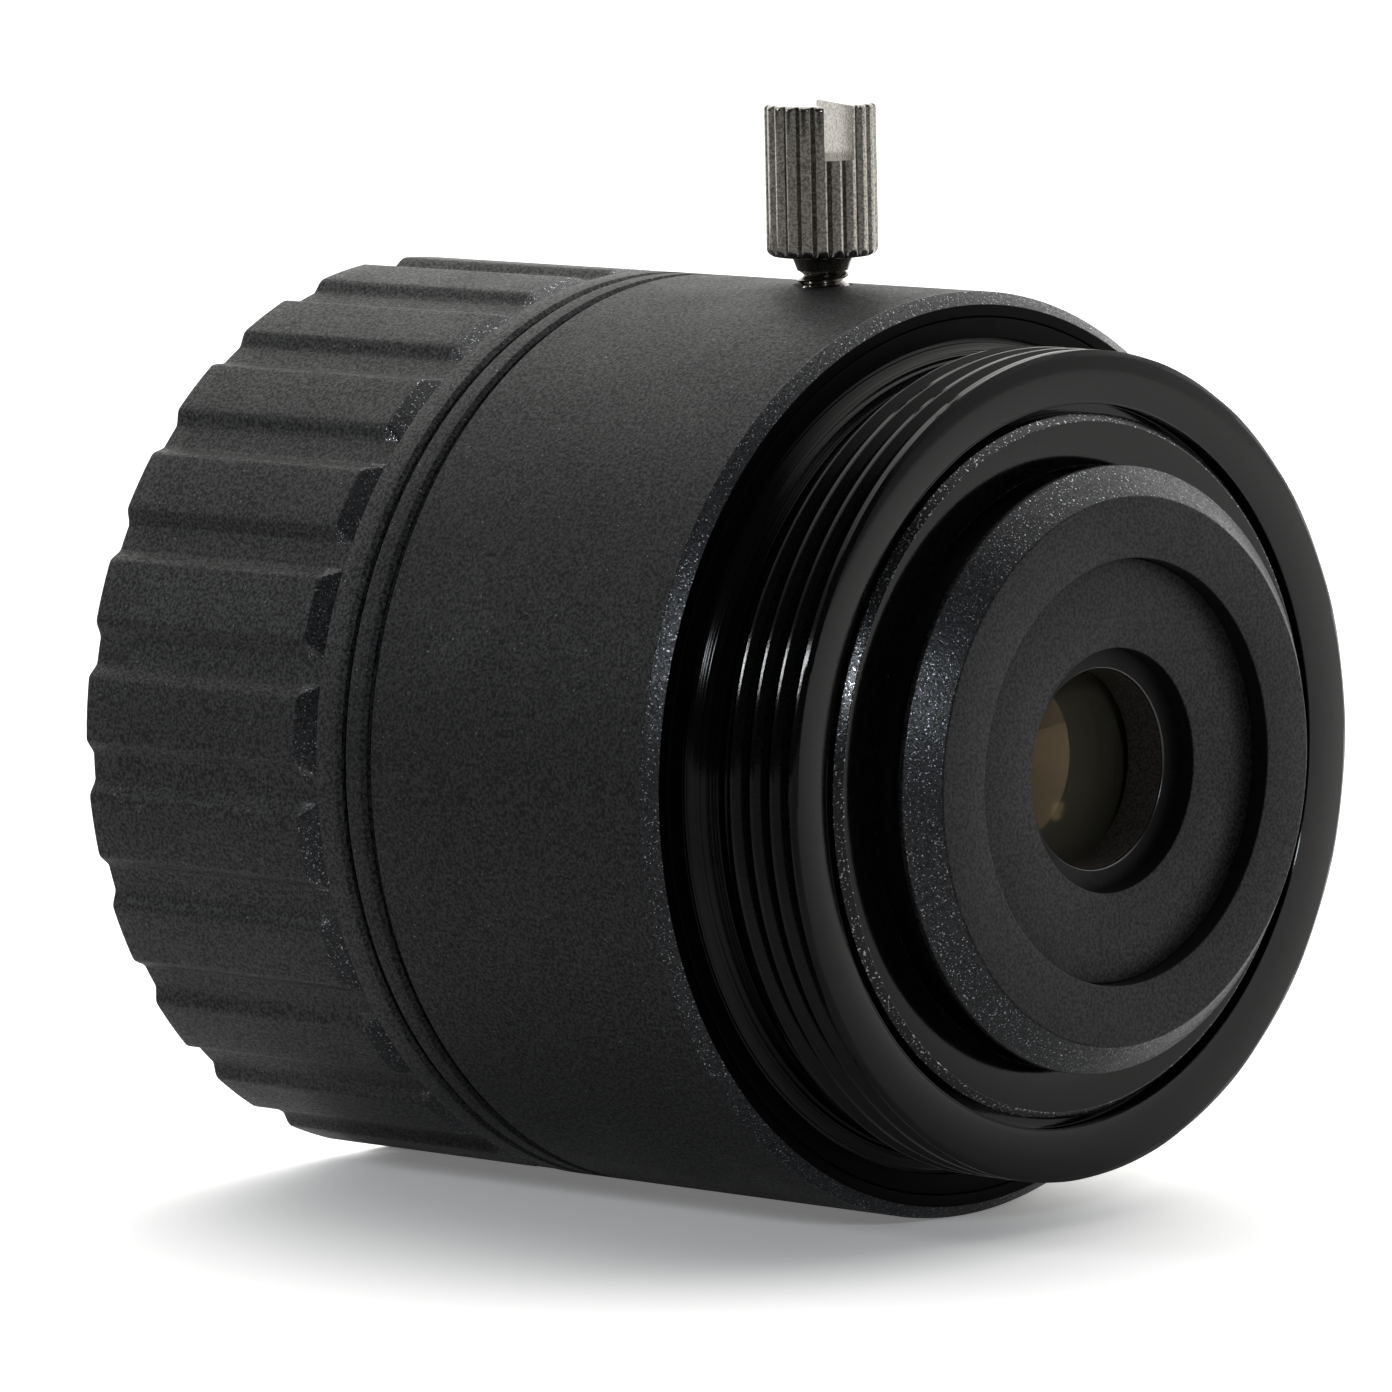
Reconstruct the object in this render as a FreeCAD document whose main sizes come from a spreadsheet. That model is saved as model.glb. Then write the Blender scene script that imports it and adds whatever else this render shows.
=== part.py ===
"""Small CS-mount CCTV lens with a turning focus ring, a sliding lens cell and a lock screw.

Frame: the origin is the centre of the mount's flange plane. +X points rearward, out of the
mount, along the optical axis. +Z points up through the lock screw. Millimetres and degrees.
The radii grow from the mount's thread by walls and steps. Places on the barrel, collar, grip,
sleeve and inner barrel, and every name that ends in seat, are distances ahead of the flange
plane. Places on the mount, guide ring, rear cell ring and glass are distances behind it.
"""
import FreeCAD, Part
import os
import re
import Sketcher

os.makedirs("parts", exist_ok=True)
doc = FreeCAD.newDocument("cctv_lens")
sheet = doc.addObject("Spreadsheet::Sheet", "sizes")

# Driving dimensions: name, value, what it is
SIZES = [
    ("seat_gap", 0.01, "radial gap of a seated or screwed joint"),
    ("running_gap", 0.04, "gap of a turning or sliding fit"),
    ("edge_break", 0.08, "small chamfer on outer edges"),
    # camera mount, 1 inch by 32 turns per inch
    ("thread_crest_radius", 12.6, "crest radius of the mount thread"),
    ("thread_depth", 0.45, "depth of the mount thread"),
    ("thread_pitch", 0.79375, "pitch of the mount thread"),
    ("crest_width", 0.18, "flat on each thread crest"),
    ("crest_count", 4, "number of crests"),
    ("relief_depth", 0.5, "undercut between flange and thread, below the crests"),
    ("relief_length", 1.0, "length of the undercut"),
    ("relief_slope_length", 0.73, "slope from the undercut up to the first crest"),
    ("lead_in_length", 0.08, "length of the bevel behind the last crest"),
    ("lead_in_depth", 0.18, "depth of that bevel"),
    ("flange_step", 0.15, "inner edge of the flange's seating face, above the crests"),
    ("flange_seat_width", 0.65, "width of that face on the mount ring"),
    ("flange_undercut", 0.1, "depth of the step inside the seating face"),
    ("mount_flange_thickness", 1.3, "thickness of the mount ring's flange, let into the barrel"),
    ("mount_wall", 1.45, "wall of the mount ring below the thread's roots"),
    ("mount_lip_width", 0.9, "lip on which the guide ring seats"),
    ("mount_lip_thickness", 0.4, "thickness of that lip"),
    ("face_groove_width", 0.35, "ring groove around the guide ring"),
    ("face_groove_depth", 0.8, "depth of that groove"),
    # fixed barrel
    ("barrel_rear_wall", 0.74, "wall of the barrel around the mount ring's flange"),
    ("barrel_length", 11.75, "length of the barrel"),
    ("rear_chamfer", 0.4, "chamfer at the rear edge of the barrel"),
    ("collar_seat_wall", 0.7, "wall of the barrel around the collar's thread"),
    ("collar_seat_step", 1.05, "step from the collar's seat in to the barrel's bore"),
    ("collar_spigot_length", 0.94, "how far the collar screws into the barrel"),
    # collar between the two fine grooves
    ("collar_length", 1.07, "visible length of the collar"),
    ("groove_width", 0.2, "width of the fine grooves beside the collar"),
    ("groove_depth", 0.35, "depth of the fine groove behind the collar"),
    # guide ring
    ("guide_recess_step", 0.51, "step from the guide ring's bore out to its counterbore"),
    ("guide_recess_depth", 0.9, "depth of that counterbore"),
    ("guide_chamfer", 0.22, "outer chamfer of the guide ring"),
    ("guide_pin_radius", 0.6, "pin that keeps the cell from turning"),
    ("guide_pin_place", 1.6, "place of the pin behind the flange plane"),
    ("guide_slot_depth", 0.65, "slot for the pin in the cell's neck"),
    ("guide_slot_play", 0.05, "side play of the pin in its slot"),
    # focus travel
    ("focus_angle", 300, "turn of the focus ring, in degrees"),
    ("focus_travel", 1.0, "slide of the lens cell over that turn"),
    ("head_clearance", 0.01, "gap left under the rear cell ring at the end of that slide"),
    ("tongue_length", 1.0, "length of the stop tongue at the sleeve's rear end"),
    ("tongue_clearance", 0.3, "gap between the tongue and the mount ring"),
    ("stop_pin_radius", 0.5, "stop pin in the mount ring"),
    ("stop_play_angle", 0.5, "play between pin and tongue at each end, in degrees"),
    ("stop_pin_overlap", 0.7, "how far the pin reaches past the tongue's end"),
    ("stop_pin_seat_depth", 1.0, "how deep the pin sits in the mount ring"),
    # focus sleeve
    ("sleeve_flange_thickness", 0.67, "flange of the focus sleeve, held by the collar"),
    ("sleeve_flange_play", 0.15, "gap around that flange"),
    ("sleeve_front_wall", 0.76, "wall of the sleeve's wide front part"),
    ("sleeve_wall", 1.72, "wall of the sleeve's helicoid part"),
    ("helicoid_length", 11.9, "length of the sleeve's helicoid bore"),
    # grip ring and front trim ring
    ("grip_length", 11.11, "length of the grip ring"),
    ("rim_length", 0.96, "plain rim at the grip's rear end"),
    ("neck_length", 0.25, "flat of the turned groove ahead of the rim"),
    ("rib_end_length", 0.7, "chamfered rear end of each rib"),
    ("rib_height", 0.3, "height of the ribs over the valleys"),
    ("rib_count", 24, "number of ribs"),
    ("valley_floor_angle", 3.0, "width of a valley at its floor, in degrees"),
    ("valley_top_angle", 7.6, "width of a valley at the rib tops, in degrees"),
    ("valley_phase", 2.4, "turn of the first valley from the top, in degrees"),
    ("grip_front_chamfer", 0.12, "chamfer at the grip's front edge"),
    ("grip_front_wall", 1.05, "wall of the grip around the trim ring"),
    ("grip_lip_thickness", 0.6, "lip of the grip on the sleeve's front end"),
    ("trim_setback", 0.08, "how far the trim ring lies behind the grip's front edge"),
    ("trim_flange_thickness", 0.22, "flange of the front trim ring"),
    ("trim_wall", 0.54, "wall of the trim ring's threaded part"),
    ("trim_spigot_length", 1.6, "how far the trim ring screws into the sleeve"),
    # inner barrel of the lens cell
    ("cell_setback", 0.5, "how far the inner barrel lies behind the sleeve's front end"),
    ("shoulder_setback", 2.0, "cell's shoulder to the root of the sleeve's tongue"),
    ("helicoid_pitch", 0.8, "pitch of the helicoid grooves"),
    ("helicoid_groove_depth", 0.22, "depth of the helicoid grooves"),
    ("helicoid_groove_width", 0.5, "width of the helicoid grooves"),
    ("helicoid_groove_count", 10, "number of helicoid grooves"),
    ("helicoid_margin", 0.5, "plain end behind the last groove"),
    ("neck_step", 2.1, "step from the helicoid part in to the neck"),
    ("neck_wall", 1.2, "wall of the neck around the rear optics"),
    ("cell_spigot_step", 0.5, "step from the neck in to the rear cell ring's seat"),
    ("cell_spigot_length", 0.3, "length of that seat"),
    ("rear_seat", 6.5, "rear face of the web in the inner barrel"),
    ("web_thickness", 1.0, "web that carries the aperture stop"),
    ("web_margin", 1.2, "step from the stop's hole out to the web's opening"),
    ("bezel_seat_wall", 0.6, "wall of the inner barrel around the front bezel"),
    ("bezel_seat_depth", 2.8, "depth of the bezel's threaded seat"),
    ("front_bore_step", 0.7, "step from that seat in to the front element's bore"),
    ("front_bore_depth", 3.6, "depth of the front element's bore"),
    ("middle_bore_step", 1.6, "step from that bore in to the middle optics' bore"),
    # rear cell ring and retainer
    ("head_overhang", 0.7, "overhang of the rear cell ring over the neck"),
    ("head_band_length", 0.18, "straight edge of the rear cell ring"),
    ("head_taper_depth", 0.91, "depth of the taper behind that edge"),
    ("recess_step", 0.85, "step from the rear bore in to the recess in the rear face"),
    ("recess_depth", 0.6, "depth of that recess"),
    ("retainer_step", 0.1, "how far the retainer stands proud of the neck"),
    ("retainer_skirt_wall", 0.69, "wall of the retainer's skirt"),
    ("hole_radius", 3.03, "clear hole of the retainer"),
    ("mouth_step", 0.67, "step from the hole out to its counterbore"),
    ("mouth_depth", 0.64, "depth of that counterbore"),
    ("plate_gap", 0.22, "gap from the rear glass to the retainer's plate"),
    # front bezel
    ("bezel_flange_thickness", 0.4, "flange of the bezel ahead of the inner barrel"),
    ("bezel_mouth_wall", 0.29, "wall of the bezel at the front"),
    ("bezel_throat_wall", 0.49, "wall of the bezel at the glass"),
    # optics: a crown is how far a bulging surface stands proud of its edge
    ("glass_gap", 0.05, "radial gap between glass and bore"),
    ("front_edge_thickness", 2.75, "edge of the front element"),
    ("front_crown", 1.85, "crown of its front"),
    ("front_hollow_depth", 3.68, "depth of the hollow in its rear"),
    ("front_hollow_margin", 0.7, "step from the hollow's edge out to the middle bore"),
    ("front_spacer_length", 0.8, "spacer behind the front element"),
    ("second_thickness", 3.0, "edge of the second element"),
    ("second_front_depth", 0.6, "depth of the hollow in its front"),
    ("second_rear_depth", 1.56, "depth of the hollow in its rear"),
    ("second_hollow_margin", 0.8, "step from both hollows' edges out to the middle bore"),
    ("middle_edge_thickness", 1.0, "edge of the middle element"),
    ("middle_crown", 1.95, "crown of its front"),
    ("stop_thickness", 0.2, "thickness of the aperture stop"),
    ("stop_hole_radius", 3.4, "hole of the aperture stop"),
    ("stop_spacer_length", 0.3, "spacer behind the aperture stop"),
    ("doublet_front_thickness", 2.6, "edge of the doublet's front glass"),
    ("cement_crown", 1.74, "crown of the cemented surface, towards the front"),
    ("cement_gap", 0.01, "thickness of the cement"),
    ("doublet_rear_thickness", 0.6, "edge of the doublet's rear glass"),
    ("doublet_rear_crown", 1.12, "crown of the doublet's rear"),
    ("rear_edge_gap", 3.3, "edge of the doublet to edge of the rear element"),
    ("rear_edge_thickness", 0.8, "edge of the rear element"),
    ("rear_front_crown", 1.74, "crown of its front"),
    ("rear_rear_crown", 2.21, "crown of its rear"),
    ("spacer_wall", 0.7, "wall of the spacer rings"),
    ("touch_gap", 0.02, "axial gap between a ring and curved glass"),
    # lock screw
    ("lock_place", 5.7, "lock screw axis, ahead of the flange plane"),
    ("lock_screw_radius", 0.8, "outside of the screw's thread"),
    ("lock_neck_flare", 0.15, "how much wider the neck is under the screw's head"),
    ("lock_neck_length", 0.45, "length of the tapered neck"),
    ("lock_thread_pitch", 0.35, "pitch of the screw's thread"),
    ("lock_groove_depth", 0.15, "depth of the screw's thread"),
    ("lock_groove_width", 0.28, "width of the screw's thread grooves"),
    ("lock_groove_count", 4, "number of thread grooves"),
    ("lock_hole_gap", 0.02, "radial gap of the screw in the barrel"),
    ("lock_standoff", 0.89, "gap between the barrel and the screw's head"),
    ("lock_head_radius", 1.72, "outside of the knurled head"),
    ("lock_head_height", 4.66, "height of the head"),
    ("lock_head_chamfer", 0.25, "chamfer of the head"),
    ("lock_slot_width", 0.95, "screwdriver slot"),
    ("lock_slot_depth", 1.65, "depth of that slot"),
    ("lock_slot_turn", 63, "how far the slot is turned from square to the axis, in degrees"),
    ("knurl_count", 21, "number of knurl grooves"),
    ("knurl_depth", 0.14, "depth of the knurl grooves"),
    ("pad_play", 0.08, "how much narrower the soft pad is than the screw"),
    ("pad_length", 0.55, "length of the pad"),
    ("pad_clearance", 0.03, "gap between pad and sleeve"),
]
NAMES = [name for name, value, note in SIZES]

# Radii and places that follow from the driving dimensions
FOLLOWING = {
    # camera mount
    "thread_root_radius": "thread_crest_radius - thread_depth",
    "relief_radius": "thread_crest_radius - relief_depth",
    "mount_face_radius": "thread_crest_radius - lead_in_depth",
    "flange_seat_radius": "thread_crest_radius + flange_step",
    "mount_flange_radius": "flange_seat_radius + flange_seat_width",
    "mount_bore_radius": "thread_root_radius - mount_wall",
    "mount_lip_radius": "mount_bore_radius - mount_lip_width",
    "first_crest": "relief_length + relief_slope_length",
    "last_crest_end": "first_crest + (crest_count - 1) * thread_pitch + crest_width",
    "mount_face": "last_crest_end + lead_in_length",
    # barrel and collar
    "flange_recess_radius": "mount_flange_radius + seat_gap",
    "barrel_radius": "flange_recess_radius + barrel_rear_wall",
    "collar_seat_radius": "barrel_radius - collar_seat_wall",
    "collar_spigot_radius": "collar_seat_radius - seat_gap",
    "barrel_bore_radius": "collar_seat_radius - collar_seat_step",
    "collar_spigot_end": "barrel_length - collar_spigot_length",
    "collar_front": "barrel_length + collar_length",
    "sleeve_flange_front": "collar_spigot_end - running_gap",
    "sleeve_flange_rear": "sleeve_flange_front - sleeve_flange_thickness",
    "collar_bore_end": "sleeve_flange_rear - running_gap",
    # guide ring
    "guide_front": "mount_lip_thickness - mount_flange_thickness",
    "guide_outer_radius": "mount_bore_radius - seat_gap",
    "guide_bore_radius": "neck_radius + running_gap",
    "guide_recess_radius": "guide_bore_radius + guide_recess_step",
    # focus sleeve and its stop
    "sleeve_radius": "barrel_bore_radius - running_gap",
    "sleeve_flange_radius": "collar_seat_radius - sleeve_flange_play",
    "sleeve_front_bore_radius": "sleeve_radius - sleeve_front_wall",
    "helicoid_bore_radius": "sleeve_radius - sleeve_wall",
    "tongue_rear": "mount_flange_thickness + tongue_clearance",
    "tongue_root": "tongue_rear + tongue_length",
    "helicoid_front": "tongue_root + helicoid_length",
    "stop_pin_circle": "(sleeve_radius + helicoid_bore_radius) / 2",
    "stop_pin_angle": "(360 - focus_angle) / 2",
    "stop_pin_half_angle": "asin(stop_pin_radius / stop_pin_circle) / (1 deg)",
    "tongue_angle": "360 - focus_angle - 2 * (stop_pin_half_angle + stop_play_angle)",
    # grip ring and front trim ring
    "grip_rear": "collar_front + groove_width",
    "rim_front": "grip_rear + rim_length",
    "neck_front": "rim_front + neck_length",
    "rib_rear": "neck_front + rib_end_length",
    "grip_front": "grip_rear + grip_length",
    "valley_radius": "barrel_radius - rib_height",
    "grip_bore_radius": "sleeve_radius + seat_gap",
    "trim_seat_radius": "barrel_radius - grip_front_wall",
    "trim_front": "grip_front - trim_setback",
    "trim_seat": "trim_front - trim_flange_thickness",
    "trim_spigot_radius": "sleeve_front_bore_radius - seat_gap",
    "trim_bore_radius": "trim_spigot_radius - trim_wall",
    "sleeve_front": "trim_seat - grip_lip_thickness",
    # inner barrel of the lens cell
    "cell_radius": "helicoid_bore_radius - running_gap",
    "cell_front": "sleeve_front - cell_setback",
    "cell_shoulder": "tongue_root + shoulder_setback",
    "neck_radius": "cell_radius - neck_step",
    "rear_bore_radius": "neck_radius - neck_wall",
    "cell_spigot_radius": "neck_radius - cell_spigot_step",
    "web_radius": "stop_hole_radius + web_margin",
    "middle_seat": "rear_seat + web_thickness",
    "bezel_bore_radius": "cell_radius - bezel_seat_wall",
    "bezel_seat": "cell_front - bezel_seat_depth",
    "front_bore_radius": "bezel_bore_radius - front_bore_step",
    "front_seat": "bezel_seat - front_bore_depth",
    "middle_bore_radius": "front_bore_radius - middle_bore_step",
    # rear cell ring and retainer
    "head_front": "mount_face + focus_travel + head_clearance",
    "spigot_end": "head_front + cell_spigot_length",
    "recess_floor": "spigot_end + retainer_step",
    "head_rear": "recess_floor + recess_depth",
    "head_radius": "neck_radius + head_overhang",
    "head_face_radius": "head_radius - head_taper_depth",
    "recess_radius": "rear_bore_radius - recess_step",
    "retainer_radius": "rear_bore_radius - seat_gap",
    "retainer_skirt_radius": "retainer_radius - retainer_skirt_wall",
    "mouth_radius": "hole_radius + mouth_step",
    "plate_front": "rear_element_rear + rear_rear_crown + plate_gap",
    # front bezel
    "bezel_front": "cell_front + bezel_flange_thickness",
    "bezel_radius": "cell_radius - edge_break",
    "bezel_thread_radius": "bezel_bore_radius - seat_gap",
    "bezel_nose_radius": "front_bore_radius - seat_gap",
    "bezel_mouth_radius": "bezel_thread_radius - bezel_mouth_wall",
    "bezel_throat_radius": "bezel_nose_radius - bezel_throat_wall",
    # optics
    "front_rim": "front_bore_radius - glass_gap",
    "middle_rim": "middle_bore_radius - glass_gap",
    "rear_rim": "rear_bore_radius - glass_gap",
    "front_clear_radius": "middle_bore_radius - front_hollow_margin",
    "second_clear_radius": "middle_bore_radius - second_hollow_margin",
    "front_element_front": "-front_seat - front_edge_thickness",
    "second_element_front": "front_spacer_length - front_seat",
    "second_element_rear": "second_element_front + second_thickness",
    "middle_element_front": "-middle_seat - middle_edge_thickness",
    "stop_rear": "stop_thickness - rear_seat",
    "doublet_start": "stop_rear + stop_spacer_length",
    "doublet_joint": "doublet_start + doublet_front_thickness",
    "doublet_end": "doublet_joint + doublet_rear_thickness",
    "rear_element_front": "doublet_end + rear_edge_gap",
    "rear_element_rear": "rear_element_front + rear_edge_thickness",
    "middle_spacer_radius": "middle_bore_radius - seat_gap",
    "rear_spacer_radius": "rear_bore_radius - seat_gap",
    # lock screw
    "head_bottom": "barrel_radius + lock_standoff",
    "head_top": "head_bottom + lock_head_height",
    "lock_neck_radius": "lock_screw_radius + lock_neck_flare",
    "lock_thread_end": "head_bottom - lock_neck_length",
    "pad_bottom": "sleeve_radius + pad_clearance",
    "shank_end": "pad_bottom + pad_length",
}

for row, (name, value, note) in enumerate(SIZES, start=1):
    sheet.set("A%d" % row, note)
    sheet.set("B%d" % row, str(value))
    sheet.setAlias("B%d" % row, name)
doc.recompute()


def cells(formula):
    """The formula with what follows written out and each driving size pointing at its cell."""
    def written_out(word):
        name = word.group()
        if name in FOLLOWING:
            return "(%s)" % cells(FOLLOWING[name])
        return "sizes." + name if name in NAMES else name
    return re.sub(r"[A-Za-z_]+", written_out, formula)


def bind(thing, prop, formula):
    """Tie one property of an object to the sheet."""
    thing.setExpression(prop, cells(formula))


def origin_plane(body, role):
    return next(item for item in body.Origin.OriginFeatures if item.Role == role)


def new_sketch(body, name, role, offset=None):
    """A sketch on one of the body's own planes, moved along its normal by a formula."""
    sketch = body.newObject("Sketcher::SketchObject", name)
    sketch.AttachmentSupport = (origin_plane(body, role), [""])
    sketch.MapMode = "FlatFace"
    if offset:
        bind(sketch, "AttachmentOffset.Base.z", offset)
    return sketch


def place_point(sketch, index, end, across, up):
    """Hold one line end at two formulas, measured from the sketch's origin."""
    point = sketch.getPoint(index, end)
    for kind, formula, start in (("DistanceX", across, point.x), ("DistanceY", up, point.y)):
        number = sketch.addConstraint(Sketcher.Constraint(kind, -1, 1, index, end, start))
        bind(sketch, "Constraints[%d]" % number, formula)


def draw_outline(sketch, outline):
    """Closed outline of straight lines through points given as pairs of formulas.

    The lines are first laid round a circle, in order, and the formulas then move them.
    """
    first_centre = FreeCAD.Vector(10, 10, 0)
    first_spoke = FreeCAD.Vector(5, 0, 0)
    count = len(outline)
    starts = []
    for index in range(count):
        turn = FreeCAD.Rotation(FreeCAD.Vector(0, 0, 1), 360.0 * index / count)
        starts.append(turn.multVec(first_spoke) + first_centre)
    for index in range(count):
        sketch.addGeometry(Part.LineSegment(starts[index], starts[(index + 1) % count]))
    for index in range(count):
        sketch.addConstraint(Sketcher.Constraint("Coincident", index, 2, (index + 1) % count, 1))
    for index, (across, up) in enumerate(outline):
        place_point(sketch, index, 1, across, up)
    doc.recompute()


def draw_circle(sketch, across, up, radius):
    """Circle whose centre and radius are formulas."""
    sketch.addGeometry(Part.Circle(FreeCAD.Vector(1, 1, 0), FreeCAD.Vector(0, 0, 1), 1))
    place_point(sketch, 0, 3, across, up)
    number = sketch.addConstraint(Sketcher.Constraint("Radius", 0, 1.0))
    bind(sketch, "Constraints[%d]" % number, radius)
    doc.recompute()


def turned_body(label, outline):
    """Body turned about the X axis from an outline of (place along X, radius) pairs."""
    body = doc.addObject("PartDesign::Body", label)
    body.Label = label
    sketch = new_sketch(body, label + "_outline", "XY_Plane")
    draw_outline(sketch, outline)
    turned = body.newObject("PartDesign::Revolution", label + "_turned")
    turned.Profile = sketch
    turned.ReferenceAxis = (sketch, ["H_Axis"])
    turned.Angle = 360
    doc.recompute()
    return body


def cut_pocket(body, sketch, name, length, along_normal=False):
    """Straight cut from a sketch, against its normal unless told otherwise."""
    before = body.Shape.Volume
    pocket = body.newObject("PartDesign::Pocket", name)
    pocket.Profile = sketch
    pocket.Reversed = along_normal
    bind(pocket, "Length", length)
    doc.recompute()
    if body.Shape.Volume > before - 1e-6:
        raise RuntimeError(name + " cuts nothing")
    return pocket


def cut_groove(body, sketch, name, axis):
    """Turned cut from a sketch around one of its own axes."""
    groove = body.newObject("PartDesign::Groove", name)
    groove.Profile = sketch
    groove.ReferenceAxis = (sketch, [axis])
    groove.Angle = 360
    doc.recompute()
    return groove


def repeat_around(body, feature, name, role, count):
    """Repeat a cut evenly around one of the body's axes."""
    pattern = body.newObject("PartDesign::PolarPattern", name)
    pattern.Originals = [feature]
    pattern.Axis = (origin_plane(body, role), [""])
    pattern.Angle = 360
    bind(pattern, "Occurrences", count)
    body.Tip = pattern
    doc.recompute()
    return pattern


def repeat_along(body, feature, name, role, count, length, backward=False):
    """Repeat a cut evenly along one of the body's axes."""
    pattern = body.newObject("PartDesign::LinearPattern", name)
    pattern.Originals = [feature]
    pattern.Direction = (origin_plane(body, role), [""])
    pattern.Reversed = backward
    bind(pattern, "Length", length)
    bind(pattern, "Occurrences", count)
    body.Tip = pattern
    doc.recompute()
    return pattern


# Fixed barrel with its collar seat, mount seat and lock screw hole
def make_main_barrel():
    body = turned_body("main_barrel", [
        ("0", "flange_recess_radius"),
        ("0", "barrel_radius - rear_chamfer"),
        ("-rear_chamfer", "barrel_radius"),
        ("edge_break - barrel_length", "barrel_radius"),
        ("-barrel_length", "barrel_radius - edge_break"),
        ("-barrel_length", "collar_seat_radius"),
        ("-collar_bore_end", "collar_seat_radius"),
        ("-collar_bore_end", "barrel_bore_radius"),
        ("-mount_flange_thickness", "barrel_bore_radius"),
        ("-mount_flange_thickness", "flange_recess_radius"),
    ])
    hole = new_sketch(body, "lock_hole_circle", "XY_Plane")
    draw_circle(hole, "-lock_place", "0", "lock_screw_radius + lock_hole_gap")
    cut_pocket(body, hole, "lock_hole", "barrel_radius + 1", along_normal=True)
    return body


# Mount ring: flange, undercut, thread crests, lead-in bevel and the seat of the guide ring
def make_mount_ring():
    body = turned_body("mount_ring", [
        ("-mount_flange_thickness", "mount_lip_radius"),
        ("-mount_flange_thickness", "mount_flange_radius"),
        ("0", "mount_flange_radius"),
        ("0", "flange_seat_radius"),
        ("-flange_undercut", "flange_seat_radius"),
        ("-flange_undercut", "relief_radius"),
        ("relief_length", "relief_radius"),
        ("first_crest", "thread_crest_radius"),
        ("last_crest_end", "thread_crest_radius"),
        ("mount_face", "mount_face_radius"),
        ("mount_face", "mount_bore_radius + face_groove_width"),
        ("mount_face - face_groove_depth", "mount_bore_radius + face_groove_width"),
        ("mount_face - face_groove_depth", "mount_bore_radius"),
        ("guide_front", "mount_bore_radius"),
        ("guide_front", "mount_lip_radius"),
    ])
    hole = new_sketch(body, "stop_pin_circle", "YZ_Plane", "-mount_flange_thickness")
    draw_circle(hole, "stop_pin_circle * cos(stop_pin_angle * 1 deg)",
                "-stop_pin_circle * sin(stop_pin_angle * 1 deg)", "stop_pin_radius + seat_gap")
    cut_pocket(body, hole, "stop_pin_hole", "stop_pin_seat_depth + seat_gap", along_normal=True)
    vee = new_sketch(body, "thread_vee", "XY_Plane")
    draw_outline(vee, [
        ("first_crest + crest_width", "thread_crest_radius"),
        ("first_crest + crest_width", "thread_crest_radius + 1"),
        ("first_crest + thread_pitch", "thread_crest_radius + 1"),
        ("first_crest + thread_pitch", "thread_crest_radius"),
        ("first_crest + (thread_pitch + crest_width) / 2", "thread_root_radius"),
    ])
    groove = cut_groove(body, vee, "thread_groove", "H_Axis")
    repeat_along(body, groove, "thread_grooves", "X_Axis", "crest_count - 1",
                 "(crest_count - 2) * thread_pitch")
    return body


# Guide ring in which the lens cell's neck slides
def make_rear_guide_ring():
    body = turned_body("rear_guide_ring", [
        ("guide_front", "guide_bore_radius"),
        ("guide_front", "guide_outer_radius"),
        ("mount_face - guide_chamfer", "guide_outer_radius"),
        ("mount_face", "guide_outer_radius - guide_chamfer"),
        ("mount_face", "guide_recess_radius"),
        ("mount_face - guide_recess_depth", "guide_recess_radius"),
        ("mount_face - guide_recess_depth", "guide_bore_radius"),
    ])
    hole = new_sketch(body, "guide_pin_circle", "XY_Plane")
    draw_circle(hole, "guide_pin_place", "0", "guide_pin_radius + seat_gap")
    cut_pocket(body, hole, "guide_pin_hole", "mount_bore_radius + 1")
    return body


# Collar between the two fine grooves: it screws into the barrel and holds the sleeve's flange
def make_collar_ring():
    return turned_body("collar_ring", [
        ("-barrel_length", "collar_spigot_radius"),
        ("-barrel_length", "barrel_radius - groove_depth"),
        ("-(barrel_length + groove_width)", "barrel_radius - groove_depth"),
        ("-(barrel_length + groove_width)", "barrel_radius - edge_break"),
        ("-(barrel_length + groove_width + edge_break)", "barrel_radius"),
        ("edge_break - collar_front", "barrel_radius"),
        ("-collar_front", "barrel_radius - edge_break"),
        ("-collar_front", "barrel_bore_radius"),
        ("-collar_spigot_end", "barrel_bore_radius"),
        ("-collar_spigot_end", "collar_spigot_radius"),
    ])


# Focus sleeve with its flange, its helicoid bore and the stop tongue at its rear end
def make_helicoid_sleeve():
    body = turned_body("helicoid_sleeve", [
        ("-sleeve_front", "sleeve_front_bore_radius"),
        ("-sleeve_front", "sleeve_radius"),
        ("-sleeve_flange_front", "sleeve_radius"),
        ("-sleeve_flange_front", "sleeve_flange_radius"),
        ("-sleeve_flange_rear", "sleeve_flange_radius"),
        ("-sleeve_flange_rear", "sleeve_radius"),
        ("-tongue_root", "sleeve_radius"),
        ("-tongue_root", "helicoid_bore_radius"),
        ("-helicoid_front", "helicoid_bore_radius"),
        ("-helicoid_front", "sleeve_front_bore_radius"),
    ])
    block = new_sketch(body, "tongue_outline", "XY_Plane")
    draw_outline(block, [
        ("-(tongue_root + tongue_length)", "helicoid_bore_radius"),
        ("-(tongue_root + tongue_length)", "sleeve_radius"),
        ("-tongue_rear", "sleeve_radius"),
        ("-tongue_rear", "helicoid_bore_radius"),
    ])
    tongue = body.newObject("PartDesign::Revolution", "tongue")
    tongue.Profile = block
    tongue.ReferenceAxis = (block, ["H_Axis"])
    tongue.Midplane = True
    bind(tongue, "Angle", "tongue_angle")
    doc.recompute()
    return body


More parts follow.
